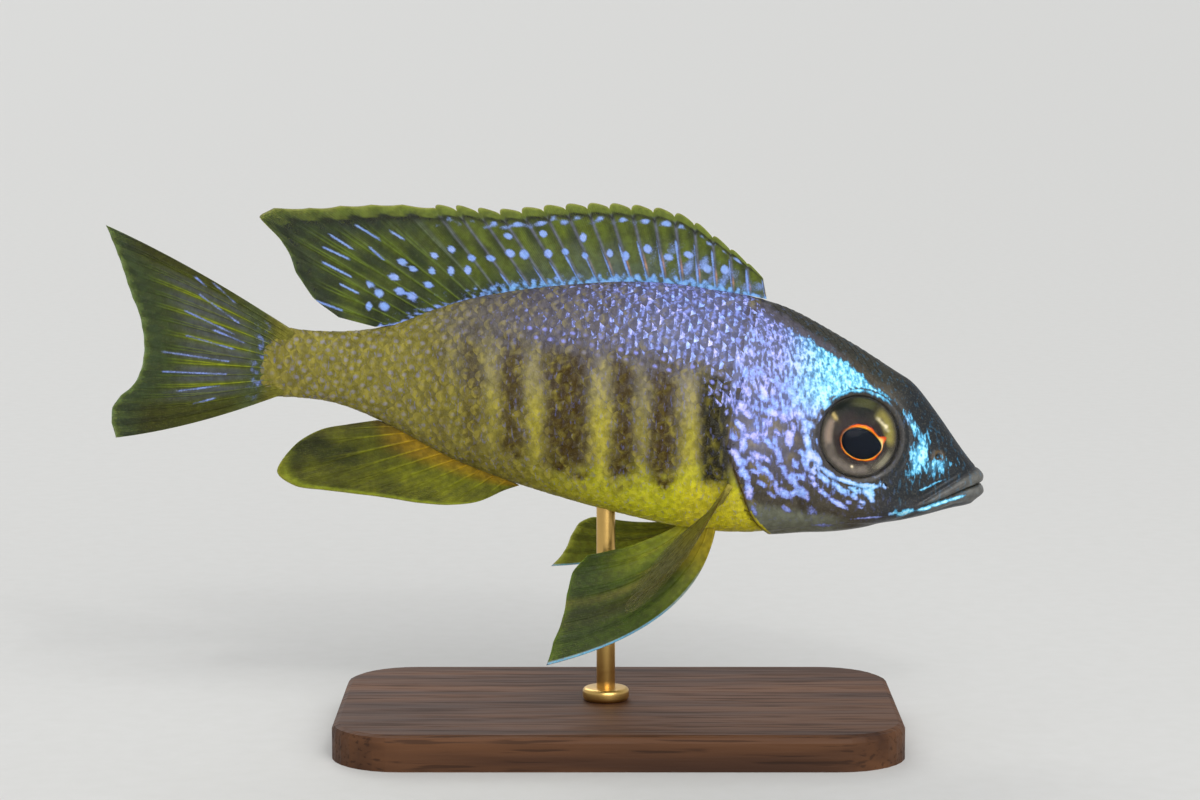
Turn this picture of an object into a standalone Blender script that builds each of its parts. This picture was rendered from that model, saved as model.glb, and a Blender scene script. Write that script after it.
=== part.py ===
"""Life-size model of an adult male deepwater hap, a cichlid, swimming on a display stand.

The script works in metres with +Z up and the head towards +X. The fish is set out in its own frame,
in millimetres: how far behind the tip of the snout, how far to the left of the middle, and how far
above the body's axis, which runs from the snout to the middle of the tail fin's root.
"""

import math
from bisect import bisect_right

import bmesh
import bpy
from mathutils import Matrix, Vector

MM = 0.001
GAP = 0.3  # millimetres left between pieces that touch

# The fish hangs head down by this much, with the tip of its snout here in the world.
HEAD_DOWN = math.radians(9.6)
SNOUT_AT = (74.65, 0.0, 44.0)
# The tail is swung to the left, from this far behind the snout.
SWAY_FROM = 62.0
SWAY_AT_TAIL_TIP = 5.5
TOTAL_LENGTH = 154.5

# Side view, as points (behind the snout, above the axis). The midline is the mouth's line in front,
# and the widest line of the body behind it.
STANDARD_LENGTH = 120.0
BACK = (
    (0, 0.2), (0.3, 1.2), (0.8, 2.2), (2.2, 3.5), (4.3, 5.5), (8.4, 9.7), (12.5, 13.6), (14.5, 15.1),
    (17, 16.2), (25.7, 19.9), (36.7, 23.9), (46, 25.0), (61, 24.6), (76, 21.5), (89, 17.4),
    (97, 13.6), (103.5, 9.8), (110, 7.6), (120, 6.3),
)
MIDLINE = (
    (0, -0.8), (4.5, -3.0), (9.1, -5.3), (14, -5.6), (22, -4.0), (34, -1.0), (50, 1.8), (70, 3.0),
    (95, 2.0), (120, 0.2),
)
BELLY = (
    (0, -1.8), (0.3, -2.9), (0.8, -3.9), (4.1, -5.2), (12.2, -8.6), (22, -12.2), (32, -14.2),
    (45, -16.1), (59, -15.7), (77, -13.7), (89.5, -11.2), (102, -7.1), (111, -5.3), (120, -5.9),
)
# Top view, as points (behind the snout, half the width).
HALF_WIDTH = (
    (0, 1.0), (0.3, 2.0), (0.8, 2.9), (2.2, 3.8), (4.3, 4.7), (9, 6.0), (14, 7.0), (21, 8.2), (30, 9.4),
    (40, 10.1), (52, 10.0), (65, 9.2), (80, 7.3), (95, 4.9), (108, 3.0), (116, 2.2), (120, 1.7),
)
# How sharp the section is at the back and how full at the belly: 1 is an ellipse.
BACK_SHARPNESS = 1.15
BELLY_SHARPNESS = 0.85
# Points in a quarter of a section.
HEAD_POINTS = 11
TRUNK_POINTS = 9

# The lips stand out along the mouth's line, which ends at its corner.
MOUTH_CORNER = 9.1
LIP_HEIGHT = 0.5
LIP_FROM_LINE = 0.9
LIP_WIDTH = 0.5
# The head's lengthwise edges run this far from the mouth's line, so that the lips come out smooth.
LIP_EDGES = (0.0, 0.3, 0.65, 1.0, 1.5, 2.2)
MOUTH_OPENING = 0.35
JAW_HINGE = (15.5, -10.4)

# The rear edges of the gill cover, up to the nape, and of the cheek, as points (above, behind). Each
# plate rises to this height over its run, and the cheek falls away again behind its edge.
GILL_EDGE = (
    (-15, 33.2), (-12.7, 36.4), (-10.4, 38.4), (-7.1, 40.2), (-4.5, 41.6), (-1.7, 42.9), (1.6, 43.6),
    (7.7, 43.5), (17.4, 42.1), (24.3, 39.6), (30, 38.3),
)
CHEEK_EDGE = ((-12, 26.5), (-6.4, 29.6), (0, 30.9), (4, 31.2), (9, 30.4))
GILL_COVER_RISE = 0.5
GILL_COVER_RUN = 9.0
CHEEK_RISE = 0.28
CHEEK_RUN = 4.0
CHEEK_FALL = 1.6
# The torso starts this far behind the head's rear edge, and the tail's length behind its cut.
GILL_CUT = 0.4
TAIL_CUT = 94.0

EYE_AT = (22.2, 7.0, 5.0)
EYE_RADIUS = 7.1
EYE_DOME = 1.9
EYE_DEPTH = 5.0
EYE_TURNED_UP = math.radians(9)
EYE_TURNED_FORWARD = math.radians(9)
NOSTRIL_AT = (8.1, 5.2, 3.6)
NOSTRIL_RADIUS = 0.55

# Half the thickness of a fin's web and of the rays that stand out of it on both faces. The rays rise
# out of the web over the first share of their length, and all thins by THIN at the margin.
WEB_HALF = 0.25
RAY_HALF = 0.45
RAY_RISE = 0.3
ROOT_REACH = 0.35
MARGIN_FROM = 0.75
THIN = 0.4
# Where a fin's cross lines run, as shares of its height: few on a flat fin, more on a bent one.
FLAT_ROWS = (0.0, 0.35, 0.78, 1.0)
BENT_ROWS = (0.0, 0.2, 0.42, 0.65, 0.86, 1.0)
# Where a ray's ridge ends, as a share of the way to the next ray, and how far the web reaches
# between the rays' tips, which are at 1.
FOOT_SHARE = 0.24
WEB_REACH = 0.985
LAPPET_REACH = 1.02
DORSAL_SPINES = 16
DORSAL_RAYS = 11
ANAL_RAYS = 12
TAIL_RAYS = 16
PECTORAL_RAYS = 12
# The tips of a pectoral fin's rays, as points (along the fin, across it from the leading ray).
PECTORAL_BLADE = (
    (16, -6.2), (22, -6.4), (27, -4.9), (29.6, -2.2), (28.8, 1.0), (25.6, 3.7), (21, 5.5), (15.5, 6.2),
    (10.8, 5.3),
)
PELVIC_RAYS = 6

STAND_LENGTH = 96.0
STAND_WIDTH = 58.0
STAND_HEIGHT = 6.0
STAND_CENTRE = 13.0
STAND_CORNER = 12.0
STAND_EDGE = 1.2
ROD_RADIUS = 1.6
ROD_SIDES = 16
COLLAR_RADIUS = 4.0
COLLAR_HEIGHT = 2.2
COLLAR_BEVEL = 0.8
ROD_MEETS_BELLY = 62.0


def through(points, x):
    """The height at x of the smooth curve through points."""
    xs = [point[0] for point in points]
    i = min(max(bisect_right(xs, x) - 1, 0), len(xs) - 2)

    def slope(k):
        before, after = points[max(k - 1, 0)], points[min(k + 1, len(points) - 1)]
        return (after[1] - before[1]) / (after[0] - before[0])

    (x0, y0), (x1, y1) = points[i], points[i + 1]
    run = x1 - x0
    t = min(max((x - x0) / run, 0.0), 1.0)
    return (
        y0 * (1 + 2 * t) * (1 - t) ** 2
        + y1 * t * t * (3 - 2 * t)
        + run * t * (1 - t) * (slope(i) * (1 - t) - slope(i + 1) * t)
    )


def eased(t):
    """A smooth step from 0 to 1."""
    t = min(max(t, 0.0), 1.0)
    return t * t * (3 - 2 * t)


def sway(behind):
    """How far the body's middle is swung to the left."""
    run = (behind - SWAY_FROM) / (TOTAL_LENGTH - SWAY_FROM)
    return SWAY_AT_TAIL_TIP * max(run, 0.0) ** 2


def at(behind, left, above):
    """A point of the fish, in metres in its own frame."""
    return Vector((-behind, left + sway(behind), above)) * MM


def plate_swell(behind, above):
    """How far the gill cover and the cheek stand out from what lies behind their rear edges."""
    ahead = through(GILL_EDGE, above) - behind
    gill_cover = GILL_COVER_RISE * eased(1 - ahead / GILL_COVER_RUN) * eased((15 - above) / 6)
    ahead = through(CHEEK_EDGE, above) - behind
    step = eased(1 - ahead / CHEEK_RUN) * eased(1 + ahead / CHEEK_FALL)
    cheek = CHEEK_RISE * step * eased((7 - above) / 5) * eased((above + 9) / 4)
    return gill_cover + cheek


def lip_swell(behind, from_line):
    """How far the lips stand out, this far from the mouth's line."""
    fades = 1 - eased((behind - MOUTH_CORNER + 1.5) / 3)
    return LIP_HEIGHT * fades * math.exp(-(((abs(from_line) - LIP_FROM_LINE) / LIP_WIDTH) ** 2))


def skin(behind, turn, grow=0.0, head=False):
    """A point of the body's surface, as (behind, left, above).

    turn runs from 0 along the back, over the right flank at a quarter turn, to a half turn at the belly.
    """
    middle = through(MIDLINE, behind)
    upper = math.cos(turn) > 0
    reach = through(BACK, behind) - middle if upper else middle - through(BELLY, behind)
    sharpness = BACK_SHARPNESS if upper else BELLY_SHARPNESS
    sharpness = 1 + (sharpness - 1) * abs(math.cos(turn))
    above = middle + (reach + grow) * math.cos(turn)
    out = (through(HALF_WIDTH, behind) + grow) * abs(math.sin(turn)) ** sharpness
    if head:
        out += lip_swell(behind, above - middle) * abs(math.sin(turn))
        rise = plate_swell(behind, above)
        out += rise * abs(math.sin(turn))
        above += rise * min(math.cos(turn), 0.0)
    return behind, -math.copysign(out, math.sin(turn)), above


def quarter_turns(reach, per_quarter, near_mouth):
    """Turns from the body's widest line to its back or belly, keeping to the lips' edges near the mouth."""
    even = [math.pi / 2 * i / per_quarter for i in range(per_quarter + 1)]
    turns = []
    for turn, edge in zip(even, LIP_EDGES):
        along_lip = min(math.asin(min(edge / reach, 1.0)), turn)
        turns.append(turn + (along_lip - turn) * near_mouth)
    left = per_quarter + 1 - len(turns)
    return turns + [turns[-1] + (math.pi / 2 - turns[-1]) * (i + 1) / left for i in range(left)]


def section_turns(behind, per_quarter):
    """The turns of one section's points, from the back down the right flank and up the left one."""
    near_mouth = 1 - eased((behind - MOUTH_CORNER) / 5)
    middle = through(MIDLINE, behind)
    upper = quarter_turns(through(BACK, behind) - middle, per_quarter, near_mouth)
    lower = quarter_turns(middle - through(BELLY, behind), per_quarter, near_mouth)
    right = [math.pi / 2 - turn for turn in reversed(upper)]
    right += [math.pi / 2 + turn for turn in lower[1:]]
    return right + [2 * math.pi - turn for turn in reversed(right[1:-1])]


def new_object(name, mesh, material=None, fish=None):
    obj = bpy.data.objects.new(name, mesh)
    bpy.context.scene.collection.objects.link(obj)
    obj.parent = fish
    if material:
        mesh.materials.append(material)
    return obj


def solid_mesh(name, points, faces):
    """A closed mesh with its faces pointing out."""
    shape = bmesh.new()
    corners = [shape.verts.new(point) for point in points]
    for face in faces:
        shape.faces.new([corners[i] for i in face])
    bmesh.ops.recalc_face_normals(shape, faces=shape.faces)
    mesh = bpy.data.meshes.new(name)
    shape.to_mesh(mesh)
    shape.free()
    mesh.shade_smooth()
    mesh.set_sharp_from_angle(angle=math.radians(40))
    return mesh


def through_rings(name, rings):
    """A closed mesh through rings of points, each with as many, capped at both ends."""
    n = len(rings[0])
    last = n * (len(rings) - 1)
    faces = [tuple(range(n)), tuple(range(last, last + n))]
    for start in range(0, last, n):
        for i in range(n):
            j = (i + 1) % n
            faces.append((start + i, start + j, start + n + j, start + n + i))
    return solid_mesh(name, [point for ring in rings for point in ring], faces)


def body_length(name, sections, per_quarter, grow=0.0, head=False):
    """A closed length of the body through these sections, each so far behind the snout."""
    rings = []
    for behind in sections:
        turns = section_turns(behind, per_quarter)
        rings.append([at(*skin(behind, turn, grow, head)) for turn in turns])
    return through_rings(name, rings)


def spaced(start, end, step):
    """Even places from start to end, at most a step apart."""
    count = math.ceil((end - start) / step)
    return [start + (end - start) * i / count for i in range(count + 1)]


def guide(name, mesh, fish):
    """A shape that only cuts others."""
    obj = new_object(name, mesh, fish=fish)
    obj.hide_render = True
    obj.display_type = "WIRE"
    return obj


def side_prism(name, outline, fish):
    """A guide with this outline in side view, right through the fish from right to left."""
    beyond = 3 * max(half for _, half in HALF_WIDTH)
    rings = [
        [Vector((-behind, left, above)) * MM for behind, above in outline] for left in (-beyond, beyond)
    ]
    return guide(name, through_rings(name, rings), fish)


def combine(obj, other, operation):
    modifier = obj.modifiers.new(operation.title(), "BOOLEAN")
    modifier.operation = operation
    modifier.object = other


def finish(name, colour, roughness, metallic=0.0):
    material = bpy.data.materials.new(name)
    material.use_nodes = True
    surface = material.node_tree.nodes["Principled BSDF"]
    surface.inputs["Base Color"].default_value = (*colour, 1)
    surface.inputs["Roughness"].default_value = roughness
    surface.inputs["Metallic"].default_value = metallic
    return material


def gill_line(behind_by):
    """The head's rear edge in side view, moved back by so much, from below the throat to above the nape."""
    heights = spaced(-15.0, 27.0, 2.0)
    return [(through(GILL_EDGE, above) + behind_by, above) for above in heights]


def head_prism(name, behind_by, fish):
    rear = gill_line(behind_by)
    outline = [(-5, -30), (rear[0][0], -30), *rear, (rear[-1][0], 40), (-5, 40)]
    return side_prism(name, outline, fish)


def jaw_prism(name, raised, fish):
    """The lower jaw's place in side view: under the mouth's line, ahead of the hinge."""
    line = [(x, through(MIDLINE, x) + raised) for x in spaced(0.0, MOUTH_CORNER, 1.3)]
    hinge = (JAW_HINGE[0] + raised, JAW_HINGE[1])
    outline = [(-5, line[0][1]), *line, hinge, (hinge[0] + 1, -25), (-5, -25)]
    return side_prism(name, outline, fish)


def eyeball(name, side, grow=0.0):
    """A shallow dome in front and a deeper bowl behind, turned to face out, up and forward."""
    shape = bmesh.new()
    bmesh.ops.create_uvsphere(shape, u_segments=24, v_segments=14, radius=1.0)
    for corner in shape.verts:
        deep = EYE_DOME if corner.co.z > 0 else EYE_DEPTH
        corner.co = Vector(
            (
                corner.co.x * (EYE_RADIUS + grow),
                corner.co.y * (EYE_RADIUS + grow),
                corner.co.z * (deep + grow),
            )
        )
    face_out = Matrix.Rotation(-side * math.pi / 2, 4, "X")
    face_up = Matrix.Rotation(side * EYE_TURNED_UP, 4, "X")
    face_forward = Matrix.Rotation(-side * EYE_TURNED_FORWARD, 4, "Z")
    bmesh.ops.transform(shape, matrix=face_forward @ face_up @ face_out, verts=shape.verts)
    behind, left, above = EYE_AT
    bmesh.ops.transform(
        shape,
        matrix=Matrix.Scale(MM, 4) @ Matrix.Translation((-behind, side * left, above)),
        verts=shape.verts,
    )
    mesh = bpy.data.meshes.new(name)
    shape.to_mesh(mesh)
    shape.free()
    mesh.shade_smooth()
    return mesh


def nostril(name, side):
    """A short round pin that bores the nostril."""
    shape = bmesh.new()
    behind, left, above = NOSTRIL_AT
    place = Matrix.Scale(MM, 4) @ Matrix.Translation((-behind, side * left, above))
    place = place @ Matrix.Rotation(math.pi / 2, 4, "X")
    bmesh.ops.create_cone(
        shape,
        cap_ends=True,
        segments=10,
        radius1=NOSTRIL_RADIUS,
        radius2=NOSTRIL_RADIUS,
        depth=2.4,
        matrix=place,
    )
    mesh = bpy.data.meshes.new(name)
    shape.to_mesh(mesh)
    shape.free()
    return mesh


def make_head(fish, material):
    snout = [0.0, 0.3, 0.7] + spaced(1.2, 12.0, 0.9)
    sections = snout + spaced(12.0, 48.0, 1.3)[1:]
    mesh = body_length("head", sections, HEAD_POINTS, head=True)
    head = new_object("head", mesh, material, fish)
    combine(head, head_prism("head_reach", 0.0, fish), "INTERSECT")
    combine(head, jaw_prism("jaw_clearance", MOUTH_OPENING, fish), "DIFFERENCE")
    for side, name in ((-1, "right"), (1, "left")):
        socket = guide(f"eye_socket_{name}", eyeball("socket", side, GAP), fish)
        combine(head, socket, "DIFFERENCE")
        combine(head, guide(f"nostril_{name}", nostril("nostril", side), fish), "DIFFERENCE")
    mesh = body_length("jaw", snout + [14.0, 16.0, 18.0], HEAD_POINTS, head=True)
    jaw = new_object("lower_jaw", mesh, material, fish)
    combine(jaw, jaw_prism("jaw_reach", 0.0, fish), "INTERSECT")


def make_eyes(fish, material):
    for side, name in ((-1, "right"), (1, "left")):
        new_object(f"eye_{name}", eyeball("eye", side), material, fish)


def make_trunk(fish, material):
    torso = new_object(
        "torso", body_length("torso", spaced(30.0, TAIL_CUT, 3.0), TRUNK_POINTS), material, fish
    )
    combine(torso, head_prism("gill_opening", GILL_CUT, fish), "DIFFERENCE")
    tail = body_length("tail", spaced(TAIL_CUT + GAP, STANDARD_LENGTH, 3.0), TRUNK_POINTS)
    new_object("tail", tail, material, fish)


def curve_point(points, share):
    """The point at this share of the way along the smooth curve through points."""
    points = [Vector(point) for point in points]
    along = [0.0]
    for one, two in zip(points, points[1:]):
        along.append(along[-1] + (two - one).length)
    reach = share * along[-1]
    return Vector(
        [through([(d, point[axis]) for d, point in zip(along, points)], reach) for axis in range(3)]
    )


def fan(count, roots, tips, knees=None):
    """Fin rays as (root, knee, tip), spread evenly along the smooth curves through those points."""
    rays = []
    for i in range(count):
        share = i / (count - 1)
        root, tip = curve_point(roots, share), curve_point(tips, share)
        knee = curve_point(knees, share) if knees else (root + tip) / 2
        rays.append((root, knee, tip))
    return rays


def on_fin(rays, place, share):
    """The point of the fin's middle sheet at this place along its rays, counted in rays."""
    place = min(max(place, 0.0), len(rays) - 1.0)
    i = min(int(place), len(rays) - 2)

    def on_ray(ray):
        root, knee, tip = ray
        return root * (1 - share) ** 2 + knee * 2 * share * (1 - share) + tip * share**2

    return on_ray(rays[i]).lerp(on_ray(rays[i + 1]), place - i)


def web(reach):
    """The web between two rays: its feet beside each ray's ridge, and how far they reach."""
    return ((FOOT_SHARE, reach), (1 - FOOT_SHARE, WEB_REACH))


def fin_columns(count, webs):
    """Where the fin's columns run, as (place among the rays, reach)."""
    columns = []
    for i in range(count - 1):
        columns.append((i, 1.0))
        columns += [(i + share, reach) for share, reach in webs(i)]
    columns.append((count - 1, 1.0))
    return columns


def fin_thickness(place, share, root_half):
    """Half the fin's thickness: it is fleshy at the root, ridged by its rays, and thins at its margin."""
    ridge = (RAY_HALF - WEB_HALF) * eased(share / RAY_RISE) if place == int(place) else 0.0
    half = (WEB_HALF + ridge) * (1 - THIN * eased((share - MARGIN_FROM) / (1 - MARGIN_FROM)))
    return half + (root_half - WEB_HALF) * (1 - eased(share / ROOT_REACH))


def fin_mesh(name, rays, root_half, webs, rows=FLAT_ROWS):
    """A fin as a closed sheet over its rays, each a ridge on both faces."""
    columns = fin_columns(len(rays), webs)
    right_face, left_face = [], []
    for place, reach in columns:
        for share in rows:
            v = share * reach
            across = on_fin(rays, place + 0.5, v) - on_fin(rays, place - 0.5, v)
            up = on_fin(rays, place, v + 0.1) - on_fin(rays, place, v - 0.1)
            out = across.cross(up).normalized() * fin_thickness(place, share, root_half)
            point = on_fin(rays, place, v)
            right_face.append(at(*(point + out)))
            left_face.append(at(*(point - out)))

    n = len(rows)
    shift = len(right_face)
    last_column, last_row = len(columns) - 1, n - 1
    faces = []
    for c in range(last_column):
        for r in range(last_row):
            low, high = c * n + r, (c + 1) * n + r
            for side in (0, shift):
                faces.append((side + low, side + high, side + high + 1))
                faces.append((side + low, side + high + 1, side + low + 1))
    root_and_margin = [(c * n + r, (c + 1) * n + r) for c in range(last_column) for r in (0, last_row)]
    front_and_rear = [(c * n + r, c * n + r + 1) for c in (0, last_column) for r in range(last_row)]
    faces += [(one, two, two + shift, one + shift) for one, two in root_and_margin + front_and_rear]
    return solid_mesh(name, right_face + left_face, faces)


def even_web(_):
    return web(WEB_REACH)


def spiny_web(i):
    """Behind each spine the web stands up in a lappet; among the soft rays it is plain."""
    return web(LAPPET_REACH if i < DORSAL_SPINES else WEB_REACH)


def back_root(behind):
    return (behind, 0.0, through(BACK, behind) + GAP)


def belly_root(behind):
    return (behind, 0.0, through(BELLY, behind) - GAP)


def make_dorsal_fin(fish, material):
    spine_roots = [back_root(s) for s in spaced(41.2, 84.0, 2.9)]
    spine_tips = (
        (42.4, 0, 28.3), (45.6, 0, 30.4), (51.3, 0, 33.5), (58.2, 0, 36.3), (68, 0, 36.2),
        (78.2, 0, 34.4), (88, 0, 31.9), (96, 0, 31.2),
    )
    ray_roots = [back_root(s) for s in spaced(86.6, 106.5, 2.0)]
    ray_tips = (
        (99.5, 0, 30.6), (105, 0, 30.2), (113.5, 0, 28.6), (121, 0, 26.8), (129, 0, 24.8),
        (124.5, 0, 21), (121.5, 0, 16.5), (119, 0, 13.5), (116, 0, 11), (112.5, 0, 9.4),
    )
    rays = fan(DORSAL_SPINES, spine_roots, spine_tips) + fan(DORSAL_RAYS, ray_roots, ray_tips)
    mesh = fin_mesh("dorsal_fin", rays, 0.5, spiny_web)
    new_object("dorsal_fin", mesh, material, fish)


def make_tail_fin(fish, material):
    start = STANDARD_LENGTH + GAP
    roots = ((start, 0, 6.0), (start, 0, 0.2), (start, 0, -5.6))
    tips = (
        (154.5, 0, 18.0), (152.1, 0, 14.1), (150.1, 0, 10.5), (148.5, 0, 7.3), (146.6, 0, 4.2),
        (145.1, 0, 0.1), (144.6, 0, -2.9), (144.9, 0, -6.4), (146.1, 0, -9.1), (148.2, 0, -11.5),
        (148.6, 0, -14.5), (147.2, 0, -17.9),
    )
    knees = (
        (138.5, 0, 14.0), (134, 0, 6.8), (132.4, 0, 0.1), (132.4, 0, -6.6), (134.5, 0, -14.0),
    )
    rays = fan(TAIL_RAYS, roots, tips, knees)
    new_object("tail_fin", fin_mesh("tail_fin", rays, 1.3, even_web), material, fish)


def make_anal_fin(fish, material):
    roots = [belly_root(s) for s in spaced(77.5, 103.5, 2.0)]
    tips = (
        (78.3, 0, -15.8), (81.5, 0, -17.6), (86, 0, -18.8), (92, 0, -19.7), (100, 0, -19.9),
        (108, 0, -20.3), (115, 0, -20.6), (118.7, 0, -20.0), (117.6, 0, -15.5), (114.5, 0, -11.5),
        (110.5, 0, -9.3), (107.5, 0, -8.3),
    )
    rays = fan(ANAL_RAYS, roots, tips)
    new_object("anal_fin", fin_mesh("anal_fin", rays, 0.5, even_web), material, fish)


def paired_fin(name, fish, material, cutter, rays, root_half):
    """A fin sunk into the body at its root, and then cut back to stand off the skin."""
    fin = new_object(name, fin_mesh(name, rays, root_half, even_web, BENT_ROWS), material, fish)
    combine(fin, cutter, "DIFFERENCE")


def make_pelvic_fins(fish, material, cutter):
    right = fan(
        PELVIC_RAYS,
        ((43.2, -3.4, -14.6), (45.7, -2.2, -14.8), (48.2, -1.2, -14.8)),
        (
            (67.9, -15, -40.9), (67.6, -13.6, -37.2), (66.4, -12, -33), (65.5, -10.5, -28.6),
            (63.4, -8.4, -25.6), (60.5, -6, -23.6),
        ),
        ((43.0, -9, -31.2), (50, -7.4, -28.6), (54.2, -4.2, -19.6)),
    )
    left = fan(
        PELVIC_RAYS,
        ((43.2, 3.4, -14.6), (45.7, 2.2, -14.8), (48.2, 1.2, -14.8)),
        (
            (69.4, 20, -30.2), (67.5, 19, -26.8), (67, 17.5, -24.3), (66.2, 15.5, -21.5),
            (64.5, 13, -19.4), (61, 10, -18.4),
        ),
        ((51, 10.5, -24.5), (54, 8.5, -21.5), (54.6, 5.2, -18.2)),
    )
    paired_fin("pelvic_fin_right", fish, material, cutter, right, 0.55)
    paired_fin("pelvic_fin_left", fish, material, cutter, left, 0.55)


def pectoral_rays(roots, along, across):
    """The fan of one pectoral fin, from its root line out along one direction and spread across it."""
    middle = curve_point(roots, 0.5)
    along = Vector(along).normalized()
    across = Vector(across)
    across = (across - along * across.dot(along)).normalized()
    tips = [middle + along * reach + across * spread for reach, spread in PECTORAL_BLADE]
    return fan(PECTORAL_RAYS, roots, tips)


def make_pectoral_fins(fish, material, cutter):
    """The right fin is swept down and out, nearly edge on from the side; the left lies along the flank."""
    right = pectoral_rays(
        ((42.3, -9.4, -6.4), (42.8, -8.6, -8.0), (43.2, -7.6, -9.6)),
        (0.43, -0.40, -0.81),
        (0.40, 0.89, -0.23),
    )
    left = pectoral_rays(
        ((42.4, 8.6, -6.0), (42.8, 8.5, -8.0), (43.2, 8.1, -9.9)), (0.95, 0.27, 0.05), (0.0, -0.1, -1.0)
    )
    paired_fin("pectoral_fin_right", fish, material, cutter, right, 0.4)
    paired_fin("pectoral_fin_left", fish, material, cutter, left, 0.4)


def make_base(material):
    """A flat plate with round corners and a softened top edge."""
    shape = bmesh.new()
    bmesh.ops.create_cube(shape, size=1.0)
    place = Matrix.Scale(MM, 4) @ Matrix.Translation((STAND_CENTRE, 0, STAND_HEIGHT / 2))
    place = place @ Matrix.Diagonal((STAND_LENGTH, STAND_WIDTH, STAND_HEIGHT, 1))
    bmesh.ops.transform(shape, matrix=place, verts=shape.verts)
    upright = [e for e in shape.edges if abs(e.verts[0].co.z - e.verts[1].co.z) > MM]
    bmesh.ops.bevel(
        shape, geom=upright, offset=STAND_CORNER * MM, segments=8, profile=0.5, affect="EDGES"
    )
    top = [e for e in shape.edges if min(v.co.z for v in e.verts) > STAND_HEIGHT / 2 * MM]
    bmesh.ops.bevel(shape, geom=top, offset=STAND_EDGE * MM, segments=2, profile=0.5, affect="EDGES")
    mesh = bpy.data.meshes.new("stand_base")
    shape.to_mesh(mesh)
    shape.free()
    new_object("stand_base", mesh, material)


def make_rod(fish, material, cutter):
    """A round rod with a collar at its foot, cut off just under the belly's skin."""
    belly = fish.matrix_world @ at(ROD_MEETS_BELLY, 0, through(BELLY, ROD_MEETS_BELLY))
    foot = STAND_HEIGHT + GAP
    profile = (
        (COLLAR_RADIUS, foot),
        (COLLAR_RADIUS, foot + COLLAR_HEIGHT - COLLAR_BEVEL),
        (COLLAR_RADIUS - COLLAR_BEVEL, foot + COLLAR_HEIGHT),
        (ROD_RADIUS, foot + COLLAR_HEIGHT),
        (ROD_RADIUS, belly.z / MM + ROD_RADIUS),
    )
    turns = [2 * math.pi * i / ROD_SIDES for i in range(ROD_SIDES)]
    rings = [
        [
            Vector((belly.x, 0, 0)) + Vector((radius * math.cos(a), radius * math.sin(a), height)) * MM
            for a in turns
        ]
        for radius, height in profile
    ]
    rod = new_object("stand_rod", through_rings("stand_rod", rings), material)
    combine(rod, cutter, "DIFFERENCE")


def main():
    for obj in list(bpy.data.objects):
        bpy.data.objects.remove(obj)
    fish = bpy.data.objects.new("fish", None)
    bpy.context.scene.collection.objects.link(fish)
    fish.location = Vector(SNOUT_AT) * MM
    fish.rotation_euler = (0, HEAD_DOWN, 0)
    bpy.context.view_layer.update()

    flank = finish("flank", (0.36, 0.33, 0.16), 0.4)
    face = finish("face", (0.22, 0.30, 0.48), 0.35)
    olive_fin = finish("olive_fin", (0.24, 0.28, 0.07), 0.45)
    clear_fin = finish("clear_fin", (0.40, 0.38, 0.14), 0.45)
    eye = finish("eye", (0.03, 0.03, 0.03), 0.1)
    wood = finish("wood", (0.12, 0.06, 0.03), 0.45)
    brass = finish("brass", (0.75, 0.55, 0.25), 0.3, 1.0)

    clearance = body_length("body_clearance", spaced(25.0, 92.0, 3.0), TRUNK_POINTS, grow=GAP)
    cutter = guide("body_clearance", clearance, fish)
    make_head(fish, face)
    make_eyes(fish, eye)
    make_trunk(fish, flank)
    make_dorsal_fin(fish, olive_fin)
    make_tail_fin(fish, olive_fin)
    make_anal_fin(fish, olive_fin)
    make_pelvic_fins(fish, olive_fin, cutter)
    make_pectoral_fins(fish, clear_fin, cutter)
    make_base(wood)
    make_rod(fish, brass, cutter)


main()
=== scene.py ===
"""A life-size electric blue hap, a cichlid, on its display stand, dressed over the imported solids."""

import math

import bpy
import numpy as np
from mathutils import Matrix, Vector


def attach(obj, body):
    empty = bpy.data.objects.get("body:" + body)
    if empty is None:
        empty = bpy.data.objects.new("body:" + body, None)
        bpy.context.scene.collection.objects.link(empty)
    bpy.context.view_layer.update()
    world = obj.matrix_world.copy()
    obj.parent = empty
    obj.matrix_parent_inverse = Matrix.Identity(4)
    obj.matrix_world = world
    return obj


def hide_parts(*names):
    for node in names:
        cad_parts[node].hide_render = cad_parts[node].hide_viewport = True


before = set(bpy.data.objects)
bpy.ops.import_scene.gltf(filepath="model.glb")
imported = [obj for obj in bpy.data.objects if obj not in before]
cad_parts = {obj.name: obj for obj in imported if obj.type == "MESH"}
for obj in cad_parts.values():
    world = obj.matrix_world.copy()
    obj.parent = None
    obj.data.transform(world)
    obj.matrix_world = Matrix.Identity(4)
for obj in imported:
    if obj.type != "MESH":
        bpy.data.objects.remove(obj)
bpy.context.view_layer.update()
scene = bpy.context.scene
bpy.ops.object.select_all(action="DESELECT")


# The camera. The photo was taken from the fish's right with a long lens, seven degrees above level,
# close enough for the body to fill most of the picture.
AIM = Vector((0.0099, 0.0, 0.058))
CAMERA_TILT = math.radians(7)
CAMERA_DISTANCE = 0.5685
lens = bpy.data.cameras.new("camera")
lens.lens = 100
lens.sensor_width = 36
lens.clip_start = 0.01
camera = bpy.data.objects.new("camera", lens)
scene.collection.objects.link(camera)
ahead = Vector((0, math.cos(CAMERA_TILT), -math.sin(CAMERA_TILT)))
camera.location = AIM - ahead * CAMERA_DISTANCE
camera.rotation_euler = ahead.to_track_quat("-Z", "Y").to_euler()
scene.camera = camera
scene.view_settings.view_transform = "Standard"


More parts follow.
